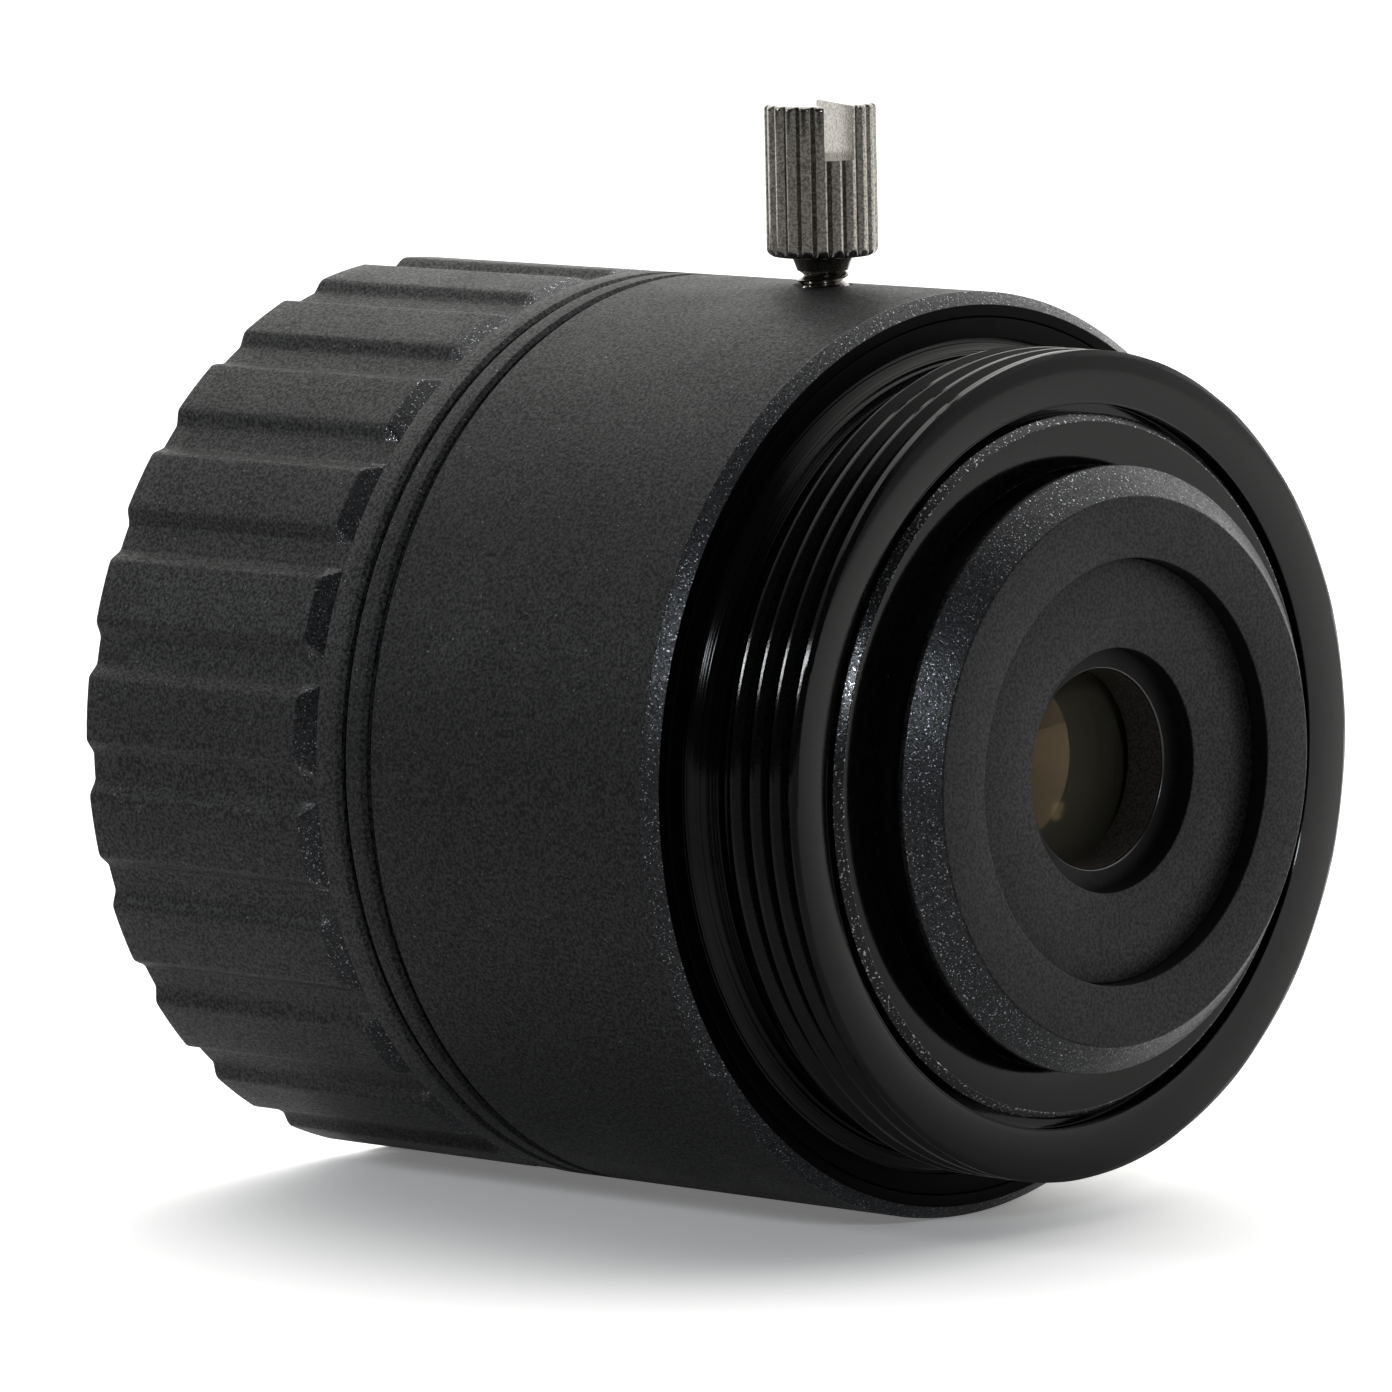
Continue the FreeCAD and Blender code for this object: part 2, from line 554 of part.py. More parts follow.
# Grip ring: plain rim, turned groove and ribs with chamfered rear ends
def make_grip_ring():
    body = turned_body("grip_ring", [
        ("-grip_rear", "grip_bore_radius"),
        ("-grip_rear", "barrel_radius - edge_break"),
        ("-(grip_rear + edge_break)", "barrel_radius"),
        ("-rim_front", "barrel_radius"),
        ("-rim_front", "valley_radius"),
        ("-neck_front", "valley_radius"),
        ("-rib_rear", "barrel_radius"),
        ("grip_front_chamfer - grip_front", "barrel_radius"),
        ("-grip_front", "barrel_radius - grip_front_chamfer"),
        ("-grip_front", "trim_seat_radius"),
        ("-trim_seat", "trim_seat_radius"),
        ("-trim_seat", "sleeve_front_bore_radius + seat_gap"),
        ("-sleeve_front", "sleeve_front_bore_radius + seat_gap"),
        ("-sleeve_front", "grip_bore_radius"),
    ])
    valley = new_sketch(body, "valley_section", "YZ_Plane", "-grip_front")
    floor_half = "tan(valley_floor_angle / 2 * 1 deg)"
    top_half = "tan(valley_top_angle / 2 * 1 deg)"
    draw_outline(valley, [
        ("-valley_radius * " + floor_half, "valley_radius"),
        ("valley_radius * " + floor_half, "valley_radius"),
        ("barrel_radius * " + top_half, "barrel_radius"),
        ("barrel_radius * " + top_half, "barrel_radius + 1"),
        ("-barrel_radius * " + top_half, "barrel_radius + 1"),
        ("-barrel_radius * " + top_half, "barrel_radius"),
    ])
    bind(valley, "AttachmentOffset.Rotation.Angle", "valley_phase * 1 deg")
    doc.recompute()
    cut = cut_pocket(body, valley, "valley", "grip_front - neck_front", along_normal=True)
    repeat_around(body, cut, "valleys", "X_Axis", "rib_count")
    return body


# Front trim ring that clamps the grip's lip on the sleeve
def make_front_trim_ring():
    return turned_body("front_trim_ring", [
        ("-trim_front", "trim_bore_radius"),
        ("-trim_front", "trim_seat_radius - seat_gap"),
        ("-trim_seat", "trim_seat_radius - seat_gap"),
        ("-trim_seat", "trim_spigot_radius"),
        ("trim_spigot_length - sleeve_front", "trim_spigot_radius"),
        ("trim_spigot_length - sleeve_front", "trim_bore_radius"),
    ])


# Inner barrel: the lens cell's tube with helicoid grooves, neck, web and guide slot
def make_inner_barrel():
    body = turned_body("inner_barrel", [
        ("-cell_front", "bezel_bore_radius"),
        ("-cell_front", "cell_radius"),
        ("-cell_shoulder", "cell_radius"),
        ("-cell_shoulder", "neck_radius"),
        ("head_front", "neck_radius"),
        ("head_front", "cell_spigot_radius"),
        ("spigot_end", "cell_spigot_radius"),
        ("spigot_end", "rear_bore_radius"),
        ("-rear_seat", "rear_bore_radius"),
        ("-rear_seat", "web_radius"),
        ("-middle_seat", "web_radius"),
        ("-middle_seat", "middle_bore_radius"),
        ("-front_seat", "middle_bore_radius"),
        ("-front_seat", "front_bore_radius"),
        ("-bezel_seat", "front_bore_radius"),
        ("-bezel_seat", "bezel_bore_radius"),
    ])
    slot = new_sketch(body, "guide_slot_outline", "XY_Plane", "guide_slot_depth - neck_radius")
    slot_half = "(guide_pin_radius + guide_slot_play)"
    draw_outline(slot, [
        ("guide_pin_place - " + slot_half, "-" + slot_half),
        ("guide_pin_place - " + slot_half, slot_half),
        ("guide_pin_place + focus_travel + " + slot_half, slot_half),
        ("guide_pin_place + focus_travel + " + slot_half, "-" + slot_half),
    ])
    cut_pocket(body, slot, "guide_slot", "guide_slot_depth + 1")
    vee = new_sketch(body, "helicoid_vee", "XY_Plane")
    vee_rear = "(cell_shoulder + helicoid_margin)"
    draw_outline(vee, [
        ("-" + vee_rear, "cell_radius"),
        ("-" + vee_rear, "cell_radius + 1"),
        ("-(%s + helicoid_groove_width)" % vee_rear, "cell_radius + 1"),
        ("-(%s + helicoid_groove_width)" % vee_rear, "cell_radius"),
        ("-(%s + helicoid_groove_width / 2)" % vee_rear, "cell_radius - helicoid_groove_depth"),
    ])
    groove = cut_groove(body, vee, "helicoid_groove", "H_Axis")
    repeat_along(body, groove, "helicoid_grooves", "X_Axis", "helicoid_groove_count",
                 "(helicoid_groove_count - 1) * helicoid_pitch", backward=True)
    return body


# Rear cell ring: overhanging rim, taper and shallow recess
def make_rear_cell_ring():
    return turned_body("rear_cell_ring", [
        ("head_front", "cell_spigot_radius + seat_gap"),
        ("head_front", "head_radius"),
        ("head_front + head_band_length", "head_radius"),
        ("head_rear", "head_face_radius"),
        ("head_rear", "recess_radius"),
        ("spigot_end", "recess_radius"),
        ("spigot_end", "cell_spigot_radius + seat_gap"),
    ])


# Retainer that holds the rear element: plate with a counterbored hole, and a skirt
def make_rear_retainer():
    skirt_front = surface_place("rear_element_rear", "rear_rear_crown", "rear_rim", 1,
                                "retainer_skirt_radius") + " + touch_gap"
    return turned_body("rear_retainer", [
        (skirt_front, "retainer_skirt_radius"),
        (skirt_front, "retainer_radius"),
        ("spigot_end", "retainer_radius"),
        ("spigot_end", "recess_radius - seat_gap"),
        ("recess_floor", "recess_radius - seat_gap"),
        ("recess_floor", "mouth_radius"),
        ("recess_floor - mouth_depth", "mouth_radius"),
        ("recess_floor - mouth_depth", "hole_radius"),
        ("plate_front", "hole_radius"),
        ("plate_front", "retainer_skirt_radius"),
    ])


# Front bezel with light baffle steps
def make_front_bezel():
    nose = surface_place("front_element_front", "front_crown", "front_rim", -1,
                         "bezel_throat_radius") + " - touch_gap"
    step_length = "(%s + bezel_front) / 3" % nose
    step_radius = "(bezel_mouth_radius + bezel_throat_radius) / 2"
    return turned_body("front_bezel", [
        ("-bezel_front", "bezel_radius"),
        ("-cell_front", "bezel_radius"),
        ("-cell_front", "bezel_thread_radius"),
        ("-bezel_seat", "bezel_thread_radius"),
        ("-bezel_seat", "bezel_nose_radius"),
        (nose, "bezel_nose_radius"),
        (nose, "bezel_throat_radius"),
        (nose + " - " + step_length, "bezel_throat_radius"),
        (nose + " - " + step_length, step_radius),
        (step_length + " - bezel_front", step_radius),
        (step_length + " - bezel_front", "bezel_mouth_radius"),
        ("-bezel_front", "bezel_mouth_radius"),
    ])


# Optics. Each element: rim radius, front edge, rear edge, front surface, rear surface.
# A surface is its form, its crown or the depth of its hollow, and its radius at the edge.
ELEMENTS = {
    "front_element": ("front_rim", "front_element_front", "-front_seat",
                      ("bulging", "front_crown", "front_rim"),
                      ("hollow", "front_hollow_depth", "front_clear_radius")),
    "second_element": ("middle_rim", "second_element_front", "second_element_rear",
                       ("hollow", "second_front_depth", "second_clear_radius"),
                       ("hollow", "second_rear_depth", "second_clear_radius")),
    "middle_element": ("middle_rim", "middle_element_front", "-middle_seat",
                       ("bulging", "middle_crown", "middle_rim"), None),
    "doublet_front": ("rear_rim", "doublet_start", "doublet_joint", None,
                      ("hollow", "cement_crown", "rear_rim")),
    "doublet_rear": ("rear_rim", "doublet_joint", "doublet_end",
                     ("cemented", "cement_crown", "rear_rim"),
                     ("bulging", "doublet_rear_crown", "rear_rim")),
    "rear_element": ("rear_rim", "rear_element_front", "rear_element_rear",
                     ("bulging", "rear_front_crown", "rear_rim"),
                     ("bulging", "rear_rear_crown", "rear_rim")),
}


def sphere_radius(rise, clear):
    """Radius of the sphere whose cap is this high and this wide at its edge."""
    return "((%s * %s + %s * %s) / (2 * %s))" % (clear, clear, rise, rise, rise)


def centre_distance(rise, clear):
    """Distance from that sphere's centre to the plane of the cap's edge."""
    return "((%s * %s - %s * %s) / (2 * %s))" % (clear, clear, rise, rise, rise)


def surface_place(edge, rise, rim, way, at_radius):
    """Where along X a bulging surface lies at a radius; way is -1 at a front, 1 at a rear."""
    ball = sphere_radius(rise, rim)
    reach = "sqrt(%s * %s - %s * %s)" % (ball, ball, at_radius, at_radius)
    signs = ("-", "+") if way > 0 else ("+", "-")
    return "(%s %s %s %s %s)" % (edge, signs[0], centre_distance(rise, rim), signs[1], reach)


def sphere_at(name, radius, place):
    ball = doc.addObject("Part::Sphere", name)
    bind(ball, "Radius", radius)
    bind(ball, "Placement.Base.x", place)
    return ball


def rod_along_x(name, radius, start, length):
    rod = doc.addObject("Part::Cylinder", name)
    turn = FreeCAD.Rotation(FreeCAD.Vector(0, 1, 0), 90)
    rod.Placement = FreeCAD.Placement(FreeCAD.Vector(), turn)
    bind(rod, "Radius", radius)
    bind(rod, "Height", length)
    bind(rod, "Placement.Base.x", start)
    return rod


def combine(kind, name, base, tool):
    joined = doc.addObject("Part::" + kind, name)
    joined.Base = base
    joined.Tool = tool
    doc.recompute()
    return joined


def make_element(label):
    """One glass element: a rod cut to its edge, then shaped by a sphere on each side."""
    rim, front, rear, front_surface, rear_surface = ELEMENTS[label]
    start, end = front, rear
    if front_surface and front_surface[0] != "hollow":
        start = "%s - %s" % (front, rim)
    if rear_surface and rear_surface[0] != "hollow":
        end = "%s + %s" % (rear, rim)
    shape = rod_along_x(label + "_blank", rim, start, "%s - (%s)" % (end, start))
    for side, edge, surface, way in (("front", front, front_surface, 1),
                                     ("rear", rear, rear_surface, -1)):
        if not surface:
            continue
        form, rise, clear = surface
        toward = "+" if (way > 0) != (form == "hollow") else "-"
        ball_radius = sphere_radius(rise, clear) + (" - cement_gap" if form == "cemented" else "")
        ball = sphere_at("%s_%s_ball" % (label, side), ball_radius,
                         "%s %s %s" % (edge, toward, centre_distance(rise, clear)))
        kind = "Cut" if form == "hollow" else "Common"
        shape = combine(kind, "%s_%s_ground" % (label, side), shape, ball)
    shape.Label = label
    return shape


def spacer(label, start, end, outer):
    """Plain ring between two elements."""
    return turned_body(label, [
        (start, outer + " - spacer_wall"),
        (start, outer),
        (end, outer),
        (end, outer + " - spacer_wall"),
    ])


def make_spacers():
    middle_contact = surface_place("middle_element_front", "middle_crown", "middle_rim", -1,
                                   "(middle_spacer_radius - spacer_wall)")
    doublet_contact = surface_place("doublet_end", "doublet_rear_crown", "rear_rim", 1,
                                    "(rear_spacer_radius - spacer_wall)")
    rear_contact = surface_place("rear_element_front", "rear_front_crown", "rear_rim", -1,
                                 "(rear_spacer_radius - spacer_wall)")
    return [
        spacer("front_spacer", "-front_seat", "second_element_front", "middle_spacer_radius"),
        spacer("middle_spacer", "second_element_rear", middle_contact + " - touch_gap",
               "middle_spacer_radius"),
        spacer("stop_spacer", "stop_rear", "doublet_start", "rear_spacer_radius"),
        spacer("rear_spacer", doublet_contact + " + touch_gap", rear_contact + " - touch_gap",
               "rear_spacer_radius"),
    ]


def make_aperture_stop():
    return turned_body("aperture_stop", [
        ("-rear_seat", "stop_hole_radius"),
        ("-rear_seat", "rear_spacer_radius"),
        ("stop_rear", "rear_spacer_radius"),
        ("stop_rear", "stop_hole_radius"),
    ])


# Pins
def make_stop_pin():
    pin = rod_along_x("stop_pin", "stop_pin_radius", "-(tongue_rear + stop_pin_overlap)",
                      "tongue_rear + stop_pin_overlap - mount_flange_thickness"
                      " + stop_pin_seat_depth")
    bind(pin, "Placement.Base.y", "stop_pin_circle * cos(stop_pin_angle * 1 deg)")
    bind(pin, "Placement.Base.z", "-stop_pin_circle * sin(stop_pin_angle * 1 deg)")
    return pin


def make_guide_pin():
    pin = doc.addObject("Part::Cylinder", "guide_pin")
    bind(pin, "Radius", "guide_pin_radius")
    bind(pin, "Height", "mount_bore_radius - 2 * guide_slot_play - neck_radius + guide_slot_depth")
    bind(pin, "Placement.Base.x", "guide_pin_place")
    bind(pin, "Placement.Base.z", "guide_slot_play - mount_bore_radius")
    return pin


# Lock screw: knurled, slotted head and a threaded shank, drawn about its own Z axis
def make_lock_screw():
    body = doc.addObject("PartDesign::Body", "lock_screw")
    body.Label = "lock_screw"
    outline = new_sketch(body, "lock_screw_outline", "XZ_Plane")
    draw_outline(outline, [
        ("0", "shank_end"),
        ("lock_screw_radius", "shank_end"),
        ("lock_screw_radius", "lock_thread_end"),
        ("lock_neck_radius", "head_bottom"),
        ("lock_head_radius - lock_head_chamfer", "head_bottom"),
        ("lock_head_radius", "head_bottom + lock_head_chamfer"),
        ("lock_head_radius", "head_top - lock_head_chamfer"),
        ("lock_head_radius - lock_head_chamfer", "head_top"),
        ("0", "head_top"),
    ])
    turned = body.newObject("PartDesign::Revolution", "lock_screw_turned")
    turned.Profile = outline
    turned.ReferenceAxis = (outline, ["V_Axis"])
    turned.Angle = 360
    doc.recompute()
    slot = new_sketch(body, "screwdriver_slot", "XY_Plane", "head_top")
    draw_outline(slot, [
        ("-lock_slot_width / 2", "-lock_head_radius - 1"),
        ("lock_slot_width / 2", "-lock_head_radius - 1"),
        ("lock_slot_width / 2", "lock_head_radius + 1"),
        ("-lock_slot_width / 2", "lock_head_radius + 1"),
    ])
    cut_pocket(body, slot, "slot", "lock_slot_depth")
    vee = new_sketch(body, "lock_thread_vee", "XZ_Plane")
    draw_outline(vee, [
        ("lock_screw_radius", "lock_thread_end"),
        ("lock_screw_radius + 1", "lock_thread_end"),
        ("lock_screw_radius + 1", "lock_thread_end - lock_groove_width"),
        ("lock_screw_radius", "lock_thread_end - lock_groove_width"),
        ("lock_screw_radius - lock_groove_depth", "lock_thread_end - lock_groove_width / 2"),
    ])
    groove = cut_groove(body, vee, "lock_thread_groove", "V_Axis")
    repeat_along(body, groove, "lock_thread_grooves", "Z_Axis", "lock_groove_count",
                 "(lock_groove_count - 1) * lock_thread_pitch", backward=True)
    notch = new_sketch(body, "knurl_notch", "XY_Plane", "head_bottom - knurl_depth")
    notch_half = "(lock_head_radius * tan(180 / knurl_count * 1 deg) * 0.8)"
    draw_outline(notch, [
        ("lock_head_radius - knurl_depth", "0"),
        ("lock_head_radius + knurl_depth", notch_half),
        ("lock_head_radius + knurl_depth", "-" + notch_half),
    ])
    cut = cut_pocket(body, notch, "knurl", "lock_head_height + 2 * knurl_depth",
                     along_normal=True)
    repeat_around(body, cut, "knurls", "Z_Axis", "knurl_count")
    bind(body, "Placement.Base.x", "-lock_place")
    bind(body, "Placement.Rotation.Angle", "lock_slot_turn * 1 deg")
    doc.recompute()
    return body


def make_lock_pad():
    pad = doc.addObject("Part::Cylinder", "lock_pad")
    bind(pad, "Radius", "lock_screw_radius - pad_play")
    bind(pad, "Height", "pad_length")
    bind(pad, "Placement.Base.x", "-lock_place")
    bind(pad, "Placement.Base.z", "pad_bottom")
    return pad


pieces = [
    make_main_barrel(),
    make_mount_ring(),
    make_rear_guide_ring(),
    make_collar_ring(),
    make_stop_pin(),
    make_guide_pin(),
    make_helicoid_sleeve(),
    make_grip_ring(),
    make_front_trim_ring(),
    make_inner_barrel(),
    make_rear_cell_ring(),
    make_rear_retainer(),
    make_front_bezel(),
    make_aperture_stop(),
    make_lock_screw(),
    make_lock_pad(),
]
pieces += make_spacers()
pieces += [make_element(label) for label in ELEMENTS]
doc.recompute()

for item in doc.Objects:
    if "Invalid" in item.State or "Error" in item.State:
        raise RuntimeError("%s did not build: %s" % (item.Name, item.State))
for piece in pieces:
    if piece.Shape.isNull() or not piece.Shape.isValid() or not piece.Shape.Solids:
        raise RuntimeError("%s has no valid solid" % piece.Label)

for piece in pieces:
    piece.Shape.exportStep("parts/%s.step" % piece.Label)
    box = piece.Shape.BoundBox
    print("%-18s %9.3f mm3  x %.2f..%.2f  y %.2f..%.2f  z %.2f..%.2f" % (
        piece.Label, piece.Shape.Volume, box.XMin, box.XMax, box.YMin, box.YMax,
        box.ZMin, box.ZMax))
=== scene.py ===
"""Looks of the CCTV lens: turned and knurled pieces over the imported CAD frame, in metres.

The sizes below are in millimetres and follow the CAD's, and rounded edges, the cove and the
thread's run-out are added: x runs rearward from the flange plane along the optical axis, r is
the distance from that axis, and angles run from the top to the side that faces the camera.
"""
import math

import bmesh
import bpy
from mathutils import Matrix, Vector


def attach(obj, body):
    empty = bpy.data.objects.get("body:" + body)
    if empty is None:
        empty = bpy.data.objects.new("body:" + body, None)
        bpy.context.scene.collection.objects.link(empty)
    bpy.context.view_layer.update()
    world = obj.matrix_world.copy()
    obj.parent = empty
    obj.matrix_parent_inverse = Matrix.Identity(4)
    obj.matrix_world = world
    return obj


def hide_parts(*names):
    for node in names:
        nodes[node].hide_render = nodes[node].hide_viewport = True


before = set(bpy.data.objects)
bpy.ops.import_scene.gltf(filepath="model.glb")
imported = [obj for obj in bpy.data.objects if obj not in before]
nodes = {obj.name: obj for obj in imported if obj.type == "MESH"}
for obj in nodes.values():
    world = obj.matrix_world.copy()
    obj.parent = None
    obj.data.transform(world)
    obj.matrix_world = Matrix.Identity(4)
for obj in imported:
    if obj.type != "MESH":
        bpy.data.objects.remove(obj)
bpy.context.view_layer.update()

MM = 0.001
MICROMETRE = 1e-6
AROUND = 288          # segments of a turned piece
ARC_STEPS = 4         # steps in a rounded edge
SHARP = 35            # degrees between faces from which an edge stays sharp
WELD = 2e-8           # points closer than this are one, in metres

# Gaps between pieces
SEAT_GAP = 0.01       # radial gap of a seated or screwed joint
RUNNING_GAP = 0.04    # gap of a turning or sliding fit
GLASS_GAP = 0.05      # radial gap between glass and bore

# Camera mount: radii and steps across the axis
CREST = 12.6
ROOT = CREST - 0.45
RELIEF = CREST - 0.5
LEAD_IN_DEPTH = 0.18
FLANGE_INSIDE = CREST + 0.15
COVE_TOP = CREST + 0.12
GUIDE_SEAT = ROOT - 1.45
MOUNT_BORE = GUIDE_SEAT - 0.9
GUIDE_CHAMFER = 0.22
FACE_GROOVE_WIDTH = 0.35

# Camera mount: places and lengths along the axis
THREAD_PITCH = 0.79375
UNDERCUT_END = 1.0
FIRST_CREST = UNDERCUT_END + 0.73
RUN_OUT = 3.75        # where the last groove grows shallow
RUN_OUT_END = 4.2
MOUNT_FACE = 4.371
LEAD_IN_LENGTH = 0.08
FACE_GROOVE_DEPTH = 0.8
COVE_START = -0.1
COVE_LENGTH = 1.0
MOUNT_FRONT = -1.3
GUIDE_FRONT = MOUNT_FRONT + 0.4

# Barrel and collar: radii
BARREL = 14.15
FLANGE_RECESS = BARREL - 0.74
MOUNT_FLANGE = FLANGE_RECESS - 0.03
COLLAR_SEAT = BARREL - 0.7
BARREL_BORE = COLLAR_SEAT - 1.05
GROOVE_FLOOR = BARREL - 0.25

# Barrel and collar: places and lengths
REAR_CHAMFER = 0.4
BEVEL = 0.13          # of the edges beside the collar's grooves
BARREL_FRONT = -11.75
GROOVE_WIDTH = 0.2
GROOVE_FRONT = BARREL_FRONT - GROOVE_WIDTH
COLLAR_FRONT = GROOVE_FRONT - 0.87
COLLAR_REAR = BARREL_FRONT + 0.94
SLEEVE_FLANGE_THICKNESS = 0.67
COLLAR_SEAT_END = COLLAR_REAR + SLEEVE_FLANGE_THICKNESS + 2 * RUNNING_GAP

# Grip ring, sleeve and front trim ring: radii and walls
SLEEVE = BARREL_BORE - RUNNING_GAP
SLEEVE_BORE = SLEEVE - 0.76
GRIP_BORE = SLEEVE + SEAT_GAP
VALLEY = BARREL - 0.3
TRIM_SEAT = BARREL - 1.05
TRIM_WALL = 0.54

# Grip ring, sleeve and front trim ring: places
GRIP_REAR = COLLAR_FRONT - GROOVE_WIDTH
RIM_FRONT = GRIP_REAR - 0.96
NECK_FRONT = RIM_FRONT - 0.25
RIB_REAR = NECK_FRONT - 0.7
GRIP_FRONT = GRIP_REAR - 11.11
TRIM_FRONT = GRIP_FRONT + 0.08
TRIM_REAR = TRIM_FRONT + 0.22
SLEEVE_FRONT = TRIM_REAR + 0.6

# Ribs: their number, and angles in degrees
RIBS = 24
VALLEY_FLOOR = 3.0
VALLEY_TOP = 7.6
VALLEY_PHASE = 2.4

# Lens cell with its rear head, bezel and glass: radii and steps
CELL = SLEEVE - 1.72 - RUNNING_GAP
CELL_NECK = CELL - 2.1
CELL_SPIGOT = CELL_NECK - 0.5
HEAD = CELL_NECK + 0.7
HEAD_TAPER = 0.91
REAR_BORE = CELL_NECK - 1.2
RECESS = REAR_BORE - 0.85
HOLE = 3.03
HOLE_MOUTH = HOLE + 0.67
BEZEL_BORE = CELL - 0.6
FRONT_BORE = BEZEL_BORE - 0.7
FRONT_HOLLOW = FRONT_BORE - 2.3

# Lens cell with its rear head, bezel and glass: places and lengths
FOCUS_TRAVEL = 1.0
HEAD_FRONT = MOUNT_FACE + FOCUS_TRAVEL + 0.01
HEAD_BAND = 0.18
SPIGOT_END = HEAD_FRONT + 0.3
RECESS_FLOOR = SPIGOT_END + 0.1
HEAD_REAR = RECESS_FLOOR + 0.6
HOLE_STEP = RECESS_FLOOR - 0.64       # where the hole narrows to the glass
REAR_GLASS_FRONT = 0.5
REAR_GLASS_REAR = REAR_GLASS_FRONT + 0.8
PLATE_FRONT = REAR_GLASS_REAR + 2.43
CELL_FRONT = SLEEVE_FRONT + 0.5
BEZEL_FRONT = CELL_FRONT - 0.4
BEZEL_SEAT = CELL_FRONT + 2.8
FRONT_STEP = BEZEL_SEAT + 3.6
FRONT_GLASS_EDGE = FRONT_STEP - 2.75

# Lock screw: its place, radii from its own axis, and heights over the optical axis
SCREW_X = -5.7
SCREW_SHANK = 0.8
SCREW_ROOT = 0.6
SCREW_HOLE = SCREW_SHANK + 0.02
SCREW_HEAD = 1.72
SCREW_END = 12.95
SCREW_THREAD_TOP = 14.58
SCREW_PITCH = 0.35
SCREW_HEAD_BOTTOM = BARREL + 0.89
SCREW_HEAD_TOP = SCREW_HEAD_BOTTOM + 4.66
LOWER_EDGE = 0.28     # rounding of the head's edges
UPPER_EDGE = 0.14
SLOT_WIDTH = 0.95
SLOT_DEPTH = 1.65

# Shared by the materials
PATCH_SCALE = 350                     # cloudiness of a coating, per metre
FLAKE_SHIFT = (0.05, 0.03, 0.02)      # keeps the flakes' noise apart from the grain's
FLAKE_FINENESS = 1.5
FLAKE_COLOUR = (0.48, 0.50, 0.55, 1)
HAZE_SCALE = 900                      # cloudiness of glass, per metre


# Camera: 300 mm lens, about 350 mm away. Directions and place are in the camera's own terms:
# right, down and forward.
def make_camera():
    rearward = Vector((0.7280, 0.0701, -0.6820)).normalized()
    upward = Vector((-0.025, -1.0, -0.1215))
    upward = (upward - upward.dot(rearward) * rearward).normalized()
    sideways = upward.cross(rearward)
    place = Vector((8.34, 1.84, 353.1)) * MM
    basis = (rearward, sideways, upward)
    camera = bpy.data.objects.new("camera", bpy.data.cameras.new("camera"))
    bpy.context.scene.collection.objects.link(camera)
    bpy.context.scene.camera = camera
    matrix = camera.matrix_world.copy()
    for row in range(3):
        matrix[row][0] = basis[row].x
        matrix[row][1] = -basis[row].y
        matrix[row][2] = -basis[row].z
        matrix[row][3] = -place.dot(basis[row])
    camera.matrix_world = matrix
    camera.data.sensor_width = 36
    camera.data.lens = 300.2
    camera.data.clip_start = 0.01
    camera.data.clip_end = 20


# Materials
def new_material(name):
    material = bpy.data.materials.new(name)
    material.use_nodes = True
    material.node_tree.nodes.clear()
    return material, material.node_tree


def add(tree, kind, **values):
    """A node with its properties, or its inputs by name, set."""
    node = tree.nodes.new(kind)
    for key, value in values.items():
        if hasattr(node, key):
            setattr(node, key, value)
        else:
            node.inputs[key.replace("_", " ")].default_value = value
    return node


def grain_height(tree, coordinates, scale, detail=2.0):
    noise = add(tree, "ShaderNodeTexNoise", Scale=scale, Detail=detail, Roughness=0.6)
    tree.links.new(coordinates, noise.inputs["Vector"])
    return noise.outputs["Fac"]


def span(tree, value, low, high, from_low=0.3, from_high=0.7):
    node = add(tree, "ShaderNodeMapRange")
    node.inputs["From Min"].default_value = from_low
    node.inputs["From Max"].default_value = from_high
    node.inputs["To Min"].default_value = low
    node.inputs["To Max"].default_value = high
    tree.links.new(value, node.inputs["Value"])
    return node.outputs["Result"]


def ring_coordinates(tree, coordinates):
    """Coordinates that change along the axis and away from it, but not around it."""
    split = add(tree, "ShaderNodeSeparateXYZ")
    tree.links.new(coordinates, split.inputs[0])
    flat = add(tree, "ShaderNodeCombineXYZ")
    tree.links.new(split.outputs["Y"], flat.inputs["Y"])
    tree.links.new(split.outputs["Z"], flat.inputs["Z"])
    length = add(tree, "ShaderNodeVectorMath", operation="LENGTH")
    tree.links.new(flat.outputs[0], length.inputs[0])
    joined = add(tree, "ShaderNodeCombineXYZ")
    tree.links.new(split.outputs["X"], joined.inputs["X"])
    tree.links.new(length.outputs["Value"], joined.inputs["Y"])
    return joined.outputs[0]


